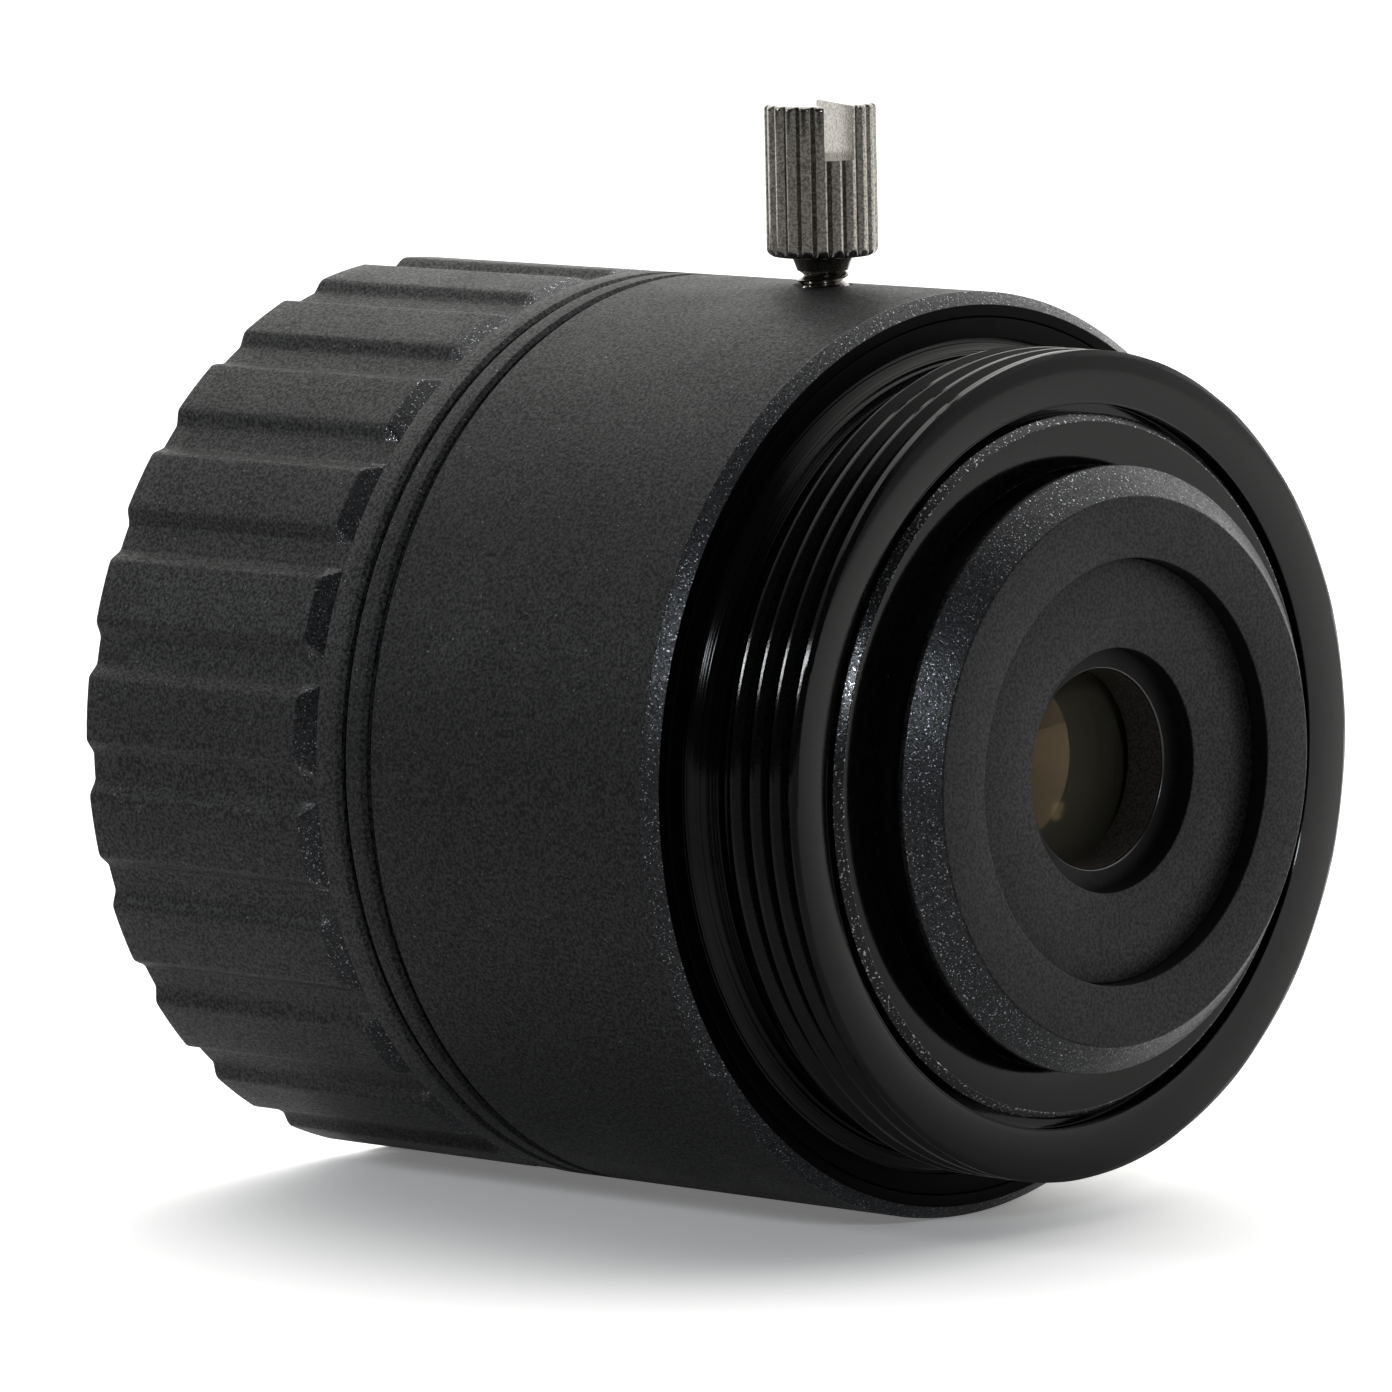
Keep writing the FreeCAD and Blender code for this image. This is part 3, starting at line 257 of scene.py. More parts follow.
def metal_finish(name, dark, light, rough, grain, depth, rings=0.0, metallic=0.0, specular=0.5,
                 sparkle=0.0, flakes=1.0, ring_size=0.07):
    """Anodised or plated metal: grain in colour and bump, patchy gloss, and turning marks.

    grain is the grain's size in millimetres and depth its height in micrometres; ring_size and
    rings are those of the turning marks. Grains above the noise level flakes are bare.
    """
    material, tree = new_material(name)
    shader = add(tree, "ShaderNodeBsdfPrincipled", Metallic=metallic)
    shader.inputs["Specular IOR Level"].default_value = specular
    output = add(tree, "ShaderNodeOutputMaterial")
    tree.links.new(shader.outputs[0], output.inputs[0])
    coordinates = add(tree, "ShaderNodeTexCoord").outputs["Object"]
    fine = grain_height(tree, coordinates, 1 / (grain * MM))
    patches = grain_height(tree, coordinates, PATCH_SCALE, 4.0)
    mix = add(tree, "ShaderNodeMix", data_type="RGBA")
    mix.inputs["A"].default_value = (*dark, 1)
    mix.inputs["B"].default_value = (*light, 1)
    blend = add(tree, "ShaderNodeMath", operation="MULTIPLY_ADD")
    tree.links.new(patches, blend.inputs[0])
    blend.inputs[1].default_value = 0.3
    tree.links.new(span(tree, fine, -0.6, 1.3), blend.inputs[2])
    tree.links.new(blend.outputs[0], mix.inputs["Factor"])
    colour = mix.outputs["Result"]
    if flakes < 1.0:
        moved = add(tree, "ShaderNodeVectorMath", operation="ADD")
        moved.inputs[1].default_value = FLAKE_SHIFT
        tree.links.new(coordinates, moved.inputs[0])
        glints = grain_height(tree, moved.outputs[0], FLAKE_FINENESS / (grain * MM))
        bare = span(tree, glints, 0.0, 1.0, flakes, flakes + 0.03)
        flaked = add(tree, "ShaderNodeMix", data_type="RGBA")
        tree.links.new(bare, flaked.inputs["Factor"])
        tree.links.new(colour, flaked.inputs["A"])
        flaked.inputs["B"].default_value = FLAKE_COLOUR
        tree.links.new(bare, shader.inputs["Metallic"])
        colour = flaked.outputs["Result"]
    tree.links.new(colour, shader.inputs["Base Color"])
    gloss = add(tree, "ShaderNodeMath", operation="ADD")
    tree.links.new(span(tree, patches, rough[0], rough[1]), gloss.inputs[0])
    tree.links.new(span(tree, fine, sparkle, -sparkle), gloss.inputs[1])
    tree.links.new(gloss.outputs[0], shader.inputs["Roughness"])
    bump = add(tree, "ShaderNodeBump", Strength=1.0, Distance=depth * MICROMETRE)
    tree.links.new(fine, bump.inputs["Height"])
    if rings:
        around = ring_coordinates(tree, coordinates)
        marks = grain_height(tree, around, 1 / (ring_size * MM), 3.0)
        second = add(tree, "ShaderNodeBump", Strength=1.0, Distance=rings * MICROMETRE)
        tree.links.new(marks, second.inputs["Height"])
        tree.links.new(bump.outputs[0], second.inputs["Normal"])
        bump = second
    tree.links.new(bump.outputs[0], shader.inputs["Normal"])
    return material


def glass_finish(name, tint, film, rough=0.02, clear=1.0, film_index=1.38):
    """Coated optical glass with a faint haze.

    film is the coating's thickness in nanometres, and clear the share that passes through;
    the rest is a diffuse veil in the tint, a painted reflection standing in for the coating's
    soft reflection of the room.
    """
    material, tree = new_material(name)
    shader = add(tree, "ShaderNodeBsdfPrincipled", IOR=1.52)
    shader.inputs["Transmission Weight"].default_value = clear
    shader.inputs["Thin Film Thickness"].default_value = film
    shader.inputs["Thin Film IOR"].default_value = film_index
    output = add(tree, "ShaderNodeOutputMaterial")
    tree.links.new(shader.outputs[0], output.inputs[0])
    coordinates = add(tree, "ShaderNodeTexCoord").outputs["Object"]
    haze = grain_height(tree, coordinates, HAZE_SCALE, 3.0)
    tree.links.new(span(tree, haze, rough * 0.5, rough * 1.5), shader.inputs["Roughness"])
    mix = add(tree, "ShaderNodeMix", data_type="RGBA")
    mix.inputs["A"].default_value = (*tint, 1)
    mix.inputs["B"].default_value = (*(channel * 0.93 for channel in tint), 1)
    tree.links.new(haze, mix.inputs["Factor"])
    tree.links.new(mix.outputs["Result"], shader.inputs["Base Color"])
    return material


MATT = metal_finish("blasted_black", (0.001, 0.001, 0.001), (0.036, 0.036, 0.037),
                    (0.50, 0.60), 0.10, 5.0, specular=0.21, sparkle=0.08, flakes=0.72)
GRIP = metal_finish("grip_black", (0.001, 0.001, 0.001), (0.051, 0.051, 0.051),
                    (0.50, 0.60), 0.10, 5.0, specular=0.26, sparkle=0.08, flakes=0.72)
EDGE = metal_finish("blasted_edge", (0.001, 0.001, 0.001), (0.034, 0.035, 0.040),
                    (0.27, 0.39), 0.10, 14.0, specular=0.35, sparkle=0.12, flakes=0.64)
GLINT = metal_finish("turned_edge", (0.0015, 0.0015, 0.0016), (0.005, 0.005, 0.0055),
                     (0.18, 0.28), 0.12, 8.0, specular=0.4, sparkle=0.05, flakes=0.62)
GLOSS = metal_finish("turned_gloss_black", (0.0015, 0.0015, 0.0016), (0.005, 0.005, 0.0055),
                     (0.08, 0.14), 0.08, 1.0, rings=0.5, specular=0.17)
DEEP = metal_finish("relief_black", (0.0005, 0.0005, 0.0006), (0.002, 0.002, 0.002),
                    (0.10, 0.15), 0.08, 1.0, rings=60.0, specular=0.25, ring_size=0.18)
FLANGE = metal_finish("flange_black", (0.0002, 0.0002, 0.0002), (0.0008, 0.0008, 0.0008),
                      (0.50, 0.60), 0.08, 1.0, rings=0.5, specular=0.05)
SATIN = metal_finish("satin_black", (0.001, 0.001, 0.001), (0.025, 0.025, 0.027),
                     (0.42, 0.52), 0.10, 5.0, rings=0.8, specular=0.18, sparkle=0.1)
# Black of the inner parts; on the rear cell's recess wall and in the hole's mouth it is painted
# shade.
INNER_BLACK_AND_SHADE = metal_finish("inner_black", (0.001, 0.001, 0.001), (0.005, 0.005, 0.005),
                     (0.5, 0.65), 0.08, 4.0, rings=1.0, specular=0.15)
WELL = metal_finish("hole_brown", (0.020, 0.017, 0.015), (0.060, 0.050, 0.042),
                    (0.50, 0.60), 0.08, 4.0, specular=0.2)
RIM = metal_finish("hole_edge", (0.002, 0.002, 0.002), (0.006, 0.006, 0.006),
                   (0.20, 0.28), 0.08, 1.0, specular=0.9)
NICKEL = metal_finish("dark_nickel", (0.15, 0.14, 0.125), (0.36, 0.34, 0.31),
                      (0.13, 0.22), 0.08, 2.0, metallic=1.0)
STEEL = metal_finish("ground_steel", (0.45, 0.45, 0.45), (0.6, 0.6, 0.6),
                     (0.2, 0.35), 0.05, 1.5, metallic=1.0)
NYLON = metal_finish("natural_nylon", (0.62, 0.60, 0.52), (0.72, 0.70, 0.62),
                     (0.4, 0.5), 0.1, 2.0)
# The rear glass's amber tint and diffuse veil are painted reflection, standing in for the amber
# coating's soft reflection of the room; the thin film adds real coloured reflection.
REAR_GLASS = glass_finish("amber_coated_glass", (0.38, 0.35, 0.26), 90, clear=0.84,
                          film_index=1.31)
INNER_GLASS = glass_finish("plain_glass", (0.60, 0.57, 0.46), 100)
FRONT_GLASS = glass_finish("blue_coated_glass", (0.93, 0.96, 0.97), 520)


# Turned pieces
def rounded(profile):
    """Corners given as (x, r, rounding radius), as points with each corner's arc put in."""
    points = []
    count = len(profile)
    for index, (x, r, radius) in enumerate(profile):
        corner = Vector((x, r))
        before = Vector(profile[index - 1][:2]) - corner
        after = Vector(profile[(index + 1) % count][:2]) - corner
        if radius <= 0 or before.length == 0 or after.length == 0:
            points.append((x, r))
            continue
        one, two = before.normalized(), after.normalized()
        half = one.angle(two) / 2
        reach = min(radius / math.tan(half), before.length * 0.45, after.length * 0.45)
        radius = reach * math.tan(half)
        centre = corner + (one + two).normalized() * (radius / math.sin(half))
        start = corner + one * reach - centre
        end = corner + two * reach - centre
        for step in range(ARC_STEPS + 1):
            part = step / ARC_STEPS
            direction = start.normalized().slerp(end.normalized(), part)
            points.append(tuple(centre + direction * radius))
    return points


def along_axis(x, r, angle):
    return (x * MM, -r * math.sin(angle) * MM, r * math.cos(angle) * MM)


def along_screw(z, r, angle):
    return ((SCREW_X + r * math.cos(angle)) * MM, r * math.sin(angle) * MM, z * MM)


def closed_object(name, points, faces):
    """Object with its doubled points welded and its faces turned outward."""
    mesh = bpy.data.meshes.new(name)
    mesh.from_pydata(points, [], faces)
    work = bmesh.new()
    work.from_mesh(mesh)
    bmesh.ops.remove_doubles(work, verts=work.verts, dist=WELD)
    bmesh.ops.dissolve_degenerate(work, edges=work.edges, dist=WELD / 2)
    bmesh.ops.recalc_face_normals(work, faces=work.faces)
    work.to_mesh(mesh)
    work.free()
    piece = bpy.data.objects.new(name, mesh)
    bpy.context.scene.collection.objects.link(piece)
    return piece


def shade(mesh, sharp):
    mesh.polygons.foreach_set("use_smooth", [True] * len(mesh.polygons))
    mesh.set_sharp_from_angle(angle=math.radians(sharp))


def finish_mesh(name, points, faces, body, material, replaced=(), sharp=SHARP):
    piece = closed_object(name, points, faces)
    shade(piece.data, sharp)
    weighted = piece.modifiers.new("even_normals", "WEIGHTED_NORMAL")
    weighted.keep_sharp = True
    piece.data.materials.clear()
    piece.data.materials.append(material)
    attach(piece, body)
    if replaced:
        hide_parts(*replaced)
    return piece


def second_finish(piece, material, chosen):
    """Another material on the faces that chosen picks by place along the axis and radius."""
    piece.data.materials.append(material)
    index = len(piece.data.materials) - 1
    for face in piece.data.polygons:
        if chosen(face.center.x / MM, math.hypot(face.center.y, face.center.z) / MM):
            face.material_index = index


def sweep(lines, angles, to_point, closed=True, shift=None):
    """Grid of points around an axis.

    lines holds one function per line: it takes an angle and gives (place along the axis,
    radius). shift gives, for each line, the line that it meets after one turn.
    """
    count = len(lines)
    points = [to_point(*line(angle), angle) for angle in angles for line in lines]
    faces = []
    turns = len(angles)
    last = count if closed else count - 1
    for turn in range(turns):
        here = turn * count
        there = ((turn + 1) % turns) * count
        wraps = turn == turns - 1
        for index in range(last):
            following = (index + 1) % count
            one, two = index, following
            if wraps and shift:
                one, two = shift[index], shift[following]
            faces.append((here + index, here + following, there + two, there + one))
    return points, faces


def fixed(x, r):
    return lambda angle: (x, r)


def even_angles(count=AROUND):
    return [2 * math.pi * index / count for index in range(count)]


def turned(name, profile, body, material, replaced=(), closed=True,
           sharp=SHARP):
    """Piece turned from a rounded profile; an open profile starts and ends on the axis."""
    outline = rounded(profile) if closed else [(x, r) for x, r, radius in profile]
    lines = [fixed(x, r) for x, r in outline]
    points, faces = sweep(lines, even_angles(), along_axis, closed)
    return finish_mesh(name, points, faces, body, material, replaced, sharp)


def thread_lines(start, stop, pitch, phase, shape, envelope, per_turn, fade=lambda place: 0.0):
    """Lines along a helical thread between two places, and the line each meets after a turn.

    shape gives the radius over one pitch, from 0 to 1; envelope limits it at a place, and fade
    is the least radius there, so that a groove can run out.
    """
    first = start - pitch
    count = math.ceil((stop - start) / pitch * per_turn) + 2 * per_turn + 1

    def line(index):
        def at(angle):
            place = first + pitch * (index / per_turn + angle / (2 * math.pi))
            place = min(max(place, start), stop)
            part = ((place - phase) / pitch - angle / (2 * math.pi)) % 1.0
            return place, min(max(shape(part), fade(place)), envelope(place))
        return at

    meets = [min(index + per_turn, count - 1) for index in range(count)]
    return [line(index) for index in range(count)], meets


def ramp(points):
    """Function through (place, value) pairs, straight between them."""
    def at(place):
        if place <= points[0][0]:
            return points[0][1]
        for (x0, v0), (x1, v1) in zip(points, points[1:]):
            if place <= x1:
                return v0 + (v1 - v0) * (place - x0) / (x1 - x0)
        return points[-1][1]
    return at


# Fixed barrel, with the countersunk hole of the lock screw
def make_barrel():
    piece = turned("barrel_shell", [
        (0.0, FLANGE_RECESS, 0.03), (0.0, BARREL - REAR_CHAMFER, 0.05),
        (-REAR_CHAMFER, BARREL, 0.06), (BARREL_FRONT + BEVEL, BARREL, 0.04),
        (BARREL_FRONT, BARREL - BEVEL, 0.02), (BARREL_FRONT, COLLAR_SEAT, 0.0),
        (COLLAR_SEAT_END, COLLAR_SEAT, 0.0), (COLLAR_SEAT_END, BARREL_BORE, 0.0),
        (MOUNT_FRONT, BARREL_BORE, 0.0), (MOUNT_FRONT, FLANGE_RECESS, 0.0),
    ], "barrel", MATT, ["main_barrel"])
    inside = BARREL_BORE - 1.4
    sink = BARREL - 0.15
    above = BARREL + 0.3
    cutter_points, cutter_faces = sweep(
        [fixed(inside, 0.0), fixed(inside, SCREW_HOLE), fixed(sink, SCREW_HOLE),
         fixed(above, SCREW_HOLE + above - sink), fixed(above, 0.0)],
        even_angles(64), along_screw, closed=False)
    cut_away(piece, cutter_points, cutter_faces)
    second_finish(piece, EDGE, lambda x, r: (-REAR_CHAMFER - 0.02 < x < -0.02
                                             and r > BARREL - REAR_CHAMFER + 0.01))
    second_finish(piece, FLANGE, lambda x, r: x > -0.02)


def cut_away(piece, points, faces):
    """Cut a closed shape out of a piece and keep the result as its mesh."""
    cutter = closed_object("cutter", points, faces)
    cutter_mesh = cutter.data
    cut = piece.modifiers.new("cut", "BOOLEAN")
    cut.operation = "DIFFERENCE"
    cut.solver = "EXACT"
    cut.object = cutter
    piece.modifiers.move(len(piece.modifiers) - 1, 0)
    bpy.context.view_layer.update()
    shaded = [modifier for modifier in piece.modifiers if modifier != cut]
    for modifier in shaded:
        modifier.show_viewport = False
    bpy.context.view_layer.update()
    graph = bpy.context.evaluated_depsgraph_get()
    result = bpy.data.meshes.new_from_object(piece.evaluated_get(graph))
    piece.modifiers.remove(cut)
    for modifier in shaded:
        modifier.show_viewport = True
    old = piece.data
    piece.data = result
    result.name = piece.name
    bpy.data.meshes.remove(old)
    bpy.data.objects.remove(cutter)
    bpy.data.meshes.remove(cutter_mesh)
    shade(piece.data, SHARP)


# Mount ring with a helical 1-32 thread
def make_mount():
    envelope = ramp([(UNDERCUT_END, RELIEF), (FIRST_CREST, CREST),
                     (MOUNT_FACE - LEAD_IN_LENGTH, CREST), (MOUNT_FACE, CREST - LEAD_IN_DEPTH)])
    fade = ramp([(RUN_OUT, ROOT), (RUN_OUT_END, CREST)])
    land = 0.21
    root_land = 0.06
    shape = ramp([(0.0, CREST), (land, CREST), (0.5 + (land - root_land) / 2, ROOT),
                  (0.5 + (land + root_land) / 2, ROOT), (1.0, CREST)])
    # The first crest stands at x 1.84 on the side that the camera sees, 80 degrees from the top
    at_side = 80 / 360
    phase = 1.84 - THREAD_PITCH * (at_side + land / 2)
    lines, meets = thread_lines(UNDERCUT_END, MOUNT_FACE, THREAD_PITCH, phase, shape, envelope,
                                per_turn=20, fade=fade)
    before = rounded([
        (GUIDE_FRONT, GUIDE_SEAT, 0.0), (GUIDE_FRONT, MOUNT_BORE, 0.0),
        (MOUNT_FRONT, MOUNT_BORE, 0.0), (MOUNT_FRONT, MOUNT_FLANGE, 0.0),
        (0.0, MOUNT_FLANGE, 0.05), (0.0, FLANGE_INSIDE, 0.03), (COVE_START, FLANGE_INSIDE, 0.0),
    ])
    cove_steps = 12
    for step in range(1, cove_steps + 1):
        turn = math.pi / 2 * step / cove_steps
        before.append((COVE_START + COVE_LENGTH * (1 - math.cos(turn)),
                       RELIEF + (COVE_TOP - RELIEF) * (1 - math.sin(turn))))
    groove_floor = MOUNT_FACE - FACE_GROOVE_DEPTH
    groove_outside = GUIDE_SEAT + FACE_GROOVE_WIDTH
    after = rounded([
        (MOUNT_FACE, groove_outside, 0.04), (groove_floor, groove_outside, 0.05),
        (groove_floor, GUIDE_SEAT, 0.0),
    ])
    rows = [fixed(x, r) for x, r in before] + lines + [fixed(x, r) for x, r in after]
    head, tail = len(before), len(before) + len(lines)
    shift = (list(range(head)) + [head + meet for meet in meets]
             + list(range(tail, len(rows))))
    points, faces = sweep(rows, even_angles(), along_axis, shift=shift)
    piece = finish_mesh("mount_thread_ring", points, faces, "barrel", GLOSS,
                        ["mount_ring"])
    second_finish(piece, DEEP, lambda x, r: x < UNDERCUT_END and r < COVE_TOP - 0.02)
    second_finish(piece, FLANGE, lambda x, r: x < 0.05 and r >= COVE_TOP - 0.02)


def make_guide_ring():
    outside = GUIDE_SEAT - SEAT_GAP
    bore = CELL_NECK + RUNNING_GAP
    recess = bore + 0.51
    recess_floor = MOUNT_FACE - 0.9
    piece = turned("guide_ring", [
        (GUIDE_FRONT, bore, 0.0), (GUIDE_FRONT, outside, 0.0),
        (MOUNT_FACE - GUIDE_CHAMFER, outside, 0.05), (MOUNT_FACE, outside - GUIDE_CHAMFER, 0.06),
        (MOUNT_FACE, recess, 0.10), (recess_floor, recess, 0.04), (recess_floor, bore, 0.03),
    ], "barrel", GLOSS, ["rear_guide_ring"])
    second_finish(piece, GLINT, lambda x, r: (
        x > MOUNT_FACE - GUIDE_CHAMFER - 0.02
        and (r > outside - GUIDE_CHAMFER - 0.02 or r < recess + 0.11)))


def make_collar():
    spigot = COLLAR_SEAT - SEAT_GAP
    turned("collar", [
        (BARREL_FRONT, spigot, 0.0), (BARREL_FRONT, GROOVE_FLOOR, 0.04),
        (GROOVE_FRONT, GROOVE_FLOOR, 0.04), (GROOVE_FRONT, BARREL - BEVEL, 0.02),
        (GROOVE_FRONT - BEVEL, BARREL, 0.04), (COLLAR_FRONT + BEVEL, BARREL, 0.04),
        (COLLAR_FRONT, BARREL - BEVEL, 0.02), (COLLAR_FRONT, BARREL_BORE, 0.0),
        (COLLAR_REAR, BARREL_BORE, 0.0), (COLLAR_REAR, spigot, 0.0),
    ], "barrel", MATT, ["collar_ring"])


# Grip ring: ribs with soft flanks and chamfered rear ends
def make_grip():
    def eased(part):
        part = min(max(part, 0.0), 1.0)
        return part * part * (3 - 2 * part)

    def rib_radius(angle):
        period = 360 / RIBS
        off = abs((math.degrees(angle) - VALLEY_PHASE + period / 2) % period - period / 2)
        rise = eased((off - VALLEY_FLOOR / 2) / ((VALLEY_TOP - VALLEY_FLOOR) / 2))
        return VALLEY + (BARREL - VALLEY) * rise

    def ribbed(x, limit):
        return lambda angle: (x, min(rib_radius(angle), limit))

    # Degrees from the middle of a valley, closer together on its flanks
    local = [-7.5, -5.8, -4.5, -3.8, -3.45, -3.1, -2.75, -2.4, -2.05, -1.7, -1.5, -0.8, 0.0,
             0.8, 1.5, 1.7, 2.05, 2.4, 2.75, 3.1, 3.45, 3.8, 4.5, 5.8]
    angles = [math.radians(VALLEY_PHASE + 360 / RIBS * rib + part)
              for rib in range(RIBS) for part in local]
    rim = rounded([
        (GRIP_REAR, GRIP_BORE, 0.0), (GRIP_REAR, BARREL - BEVEL, 0.02),
        (GRIP_REAR - BEVEL, BARREL, 0.04), (RIM_FRONT, BARREL, 0.04),
        (RIM_FRONT - 0.03, VALLEY, 0.03), (NECK_FRONT, VALLEY, 0.0),
    ])
    lines = [fixed(x, r) for x, r in rim]
    slope_steps = 12
    for step in range(1, slope_steps + 1):
        part = step / slope_steps
        lines.append(ribbed(NECK_FRONT + (RIB_REAR - NECK_FRONT) * part,
                            VALLEY + (BARREL - VALLEY) * part))
    front_edge = 0.14
    for x in (RIB_REAR - 0.05, RIB_REAR - 0.4, -17.0, -20.0, -23.0, GRIP_FRONT + front_edge):
        lines.append(ribbed(x, BARREL))     # rows along the ribs
    for step in range(1, ARC_STEPS + 1):
        turn = math.pi / 2 * step / ARC_STEPS
        drop = front_edge * (1 - math.cos(turn))
        x = GRIP_FRONT + front_edge * (1 - math.sin(turn))
        lines.append(lambda angle, x=x, drop=drop: (x, rib_radius(angle) - drop))
    lip = SLEEVE_BORE + 0.02
    inside = rounded([
        (GRIP_FRONT, TRIM_SEAT, 0.04), (TRIM_REAR, TRIM_SEAT, 0.0), (TRIM_REAR, lip, 0.0),
        (SLEEVE_FRONT, lip, 0.0), (SLEEVE_FRONT, GRIP_BORE, 0.0),
    ])
    lines += [fixed(x, r) for x, r in inside]
    points, faces = sweep(lines, angles, along_axis)
    piece = finish_mesh("grip", points, faces, "focus_ring", GRIP, ["grip_ring"],
                        sharp=28)
    second_finish(piece, EDGE, lambda x, r: RIB_REAR < x < NECK_FRONT and r > VALLEY + 0.01)


def make_rear_cell():
    seat = CELL_SPIGOT + SEAT_GAP
    ring = turned("cell_ring", [
        (HEAD_FRONT, seat, 0.0), (HEAD_FRONT, HEAD, 0.05), (HEAD_FRONT + HEAD_BAND, HEAD, 0.06),
        (HEAD_REAR, HEAD - HEAD_TAPER, 0.12), (HEAD_REAR, RECESS, 0.05),
        (SPIGOT_END, RECESS, 0.0), (SPIGOT_END, seat, 0.0),
    ], "lens_cell", SATIN, ["rear_cell_ring"])
    # The recess wall gets the darker inner finish: painted shade in the recess.
    second_finish(ring, INNER_BLACK_AND_SHADE, lambda x, r: r < RECESS + 0.02)
    second_finish(ring, EDGE, lambda x, r: (
        HEAD_FRONT + HEAD_BAND + 0.04 < x < HEAD_REAR - 0.08 and r > HEAD - HEAD_TAPER + 0.06))
    outside = REAR_BORE - SEAT_GAP
    skirt = outside - 0.69
    skirt_front = REAR_GLASS_REAR + 0.45
    plate = RECESS - SEAT_GAP
    retainer = turned("retainer", [
        (skirt_front, skirt, 0.0), (skirt_front, outside, 0.0), (SPIGOT_END, outside, 0.0),
        (SPIGOT_END, plate, 0.0), (RECESS_FLOOR, plate, 0.04), (RECESS_FLOOR, HOLE_MOUTH, 0.04),
        (HOLE_STEP, HOLE_MOUTH, 0.0), (HOLE_STEP, HOLE, 0.08), (PLATE_FRONT, HOLE, 0.0),
        (PLATE_FRONT, skirt, 0.0),
    ], "lens_cell", SATIN, ["rear_retainer"])
    # The hole's mouth wall and step get the darker inner finish: painted shade in the hole.
    second_finish(retainer, INNER_BLACK_AND_SHADE, lambda x, r: x < RECESS_FLOOR - 0.02)
    second_finish(retainer, WELL, lambda x, r: x < HOLE_STEP - 0.06 and r < HOLE + 0.02)
    second_finish(retainer, RIM,
                  lambda x, r: HOLE_STEP - 0.08 < x < HOLE_STEP - 0.005 and r < HOLE + 0.08)


def dome(edge, radius, rim, way, steps=18):
    """Points of a curved glass surface, from the axis out to the rim."""
    base = math.sqrt(radius * radius - rim * rim)
    found = []
    for step in range(steps + 1):
        r = rim * step / steps
        found.append((edge + way * (math.sqrt(radius * radius - r * r) - base), r, 0))
    return found


def make_glass():
    rim = REAR_BORE - GLASS_GAP
    rear = dome(REAR_GLASS_FRONT, 16.0, rim, -1) + dome(REAR_GLASS_REAR, 13.0, rim, 1)[::-1]
    turned("rear_glass", rear, "lens_cell", REAR_GLASS, ["rear_element"],
           closed=False, sharp=30)
    rim = FRONT_BORE - GLASS_GAP
    hollow = dome(FRONT_STEP, 8.5, FRONT_HOLLOW, -1, 16)[::-1]
    front = dome(FRONT_GLASS_EDGE, 24.0, rim, -1) + [(FRONT_STEP, rim, 0)] + hollow
    turned("front_glass", front, "lens_cell", FRONT_GLASS, ["front_element"],
           closed=False, sharp=30)


# Front: bezel with fine baffle ridges, trim ring
def make_front():
    thread = BEZEL_BORE - SEAT_GAP
    nose = FRONT_BORE - SEAT_GAP
    throat = nose - 0.49
    bezel_rear = FRONT_GLASS_EDGE - 0.21
    ridges = []
    count = 9
    start, stop = bezel_rear - 0.06, BEZEL_FRONT + 0.06
    step = (stop - start) / count
    for index in range(count):
        x = start + step * index
        r = throat + 0.9 * index / count
        ridges += [(x, r, 0.0), (x + step * 0.85, r + 0.02, 0.0)]
    turned("front_baffle", [
        (BEZEL_FRONT, thread - 0.29, 0.04), (BEZEL_FRONT, CELL - 0.08, 0.06),
        (CELL_FRONT, CELL - 0.08, 0.0), (CELL_FRONT, thread, 0.0), (BEZEL_SEAT, thread, 0.0),
        (BEZEL_SEAT, nose, 0.0), (bezel_rear, nose, 0.0), (bezel_rear, throat, 0.0),
    ] + ridges, "lens_cell", INNER_BLACK_AND_SHADE, ["front_bezel"])
    flange = TRIM_SEAT - SEAT_GAP
    spigot = SLEEVE_BORE - SEAT_GAP
    spigot_end = SLEEVE_FRONT + 1.6
    turned("front_trim", [
        (TRIM_FRONT, spigot - TRIM_WALL, 0.05), (TRIM_FRONT, flange, 0.05),
        (TRIM_REAR, flange, 0.0), (TRIM_REAR, spigot, 0.0), (spigot_end, spigot, 0.0),
        (spigot_end, spigot - TRIM_WALL, 0.0),
    ], "focus_ring", SATIN, ["front_trim_ring"])


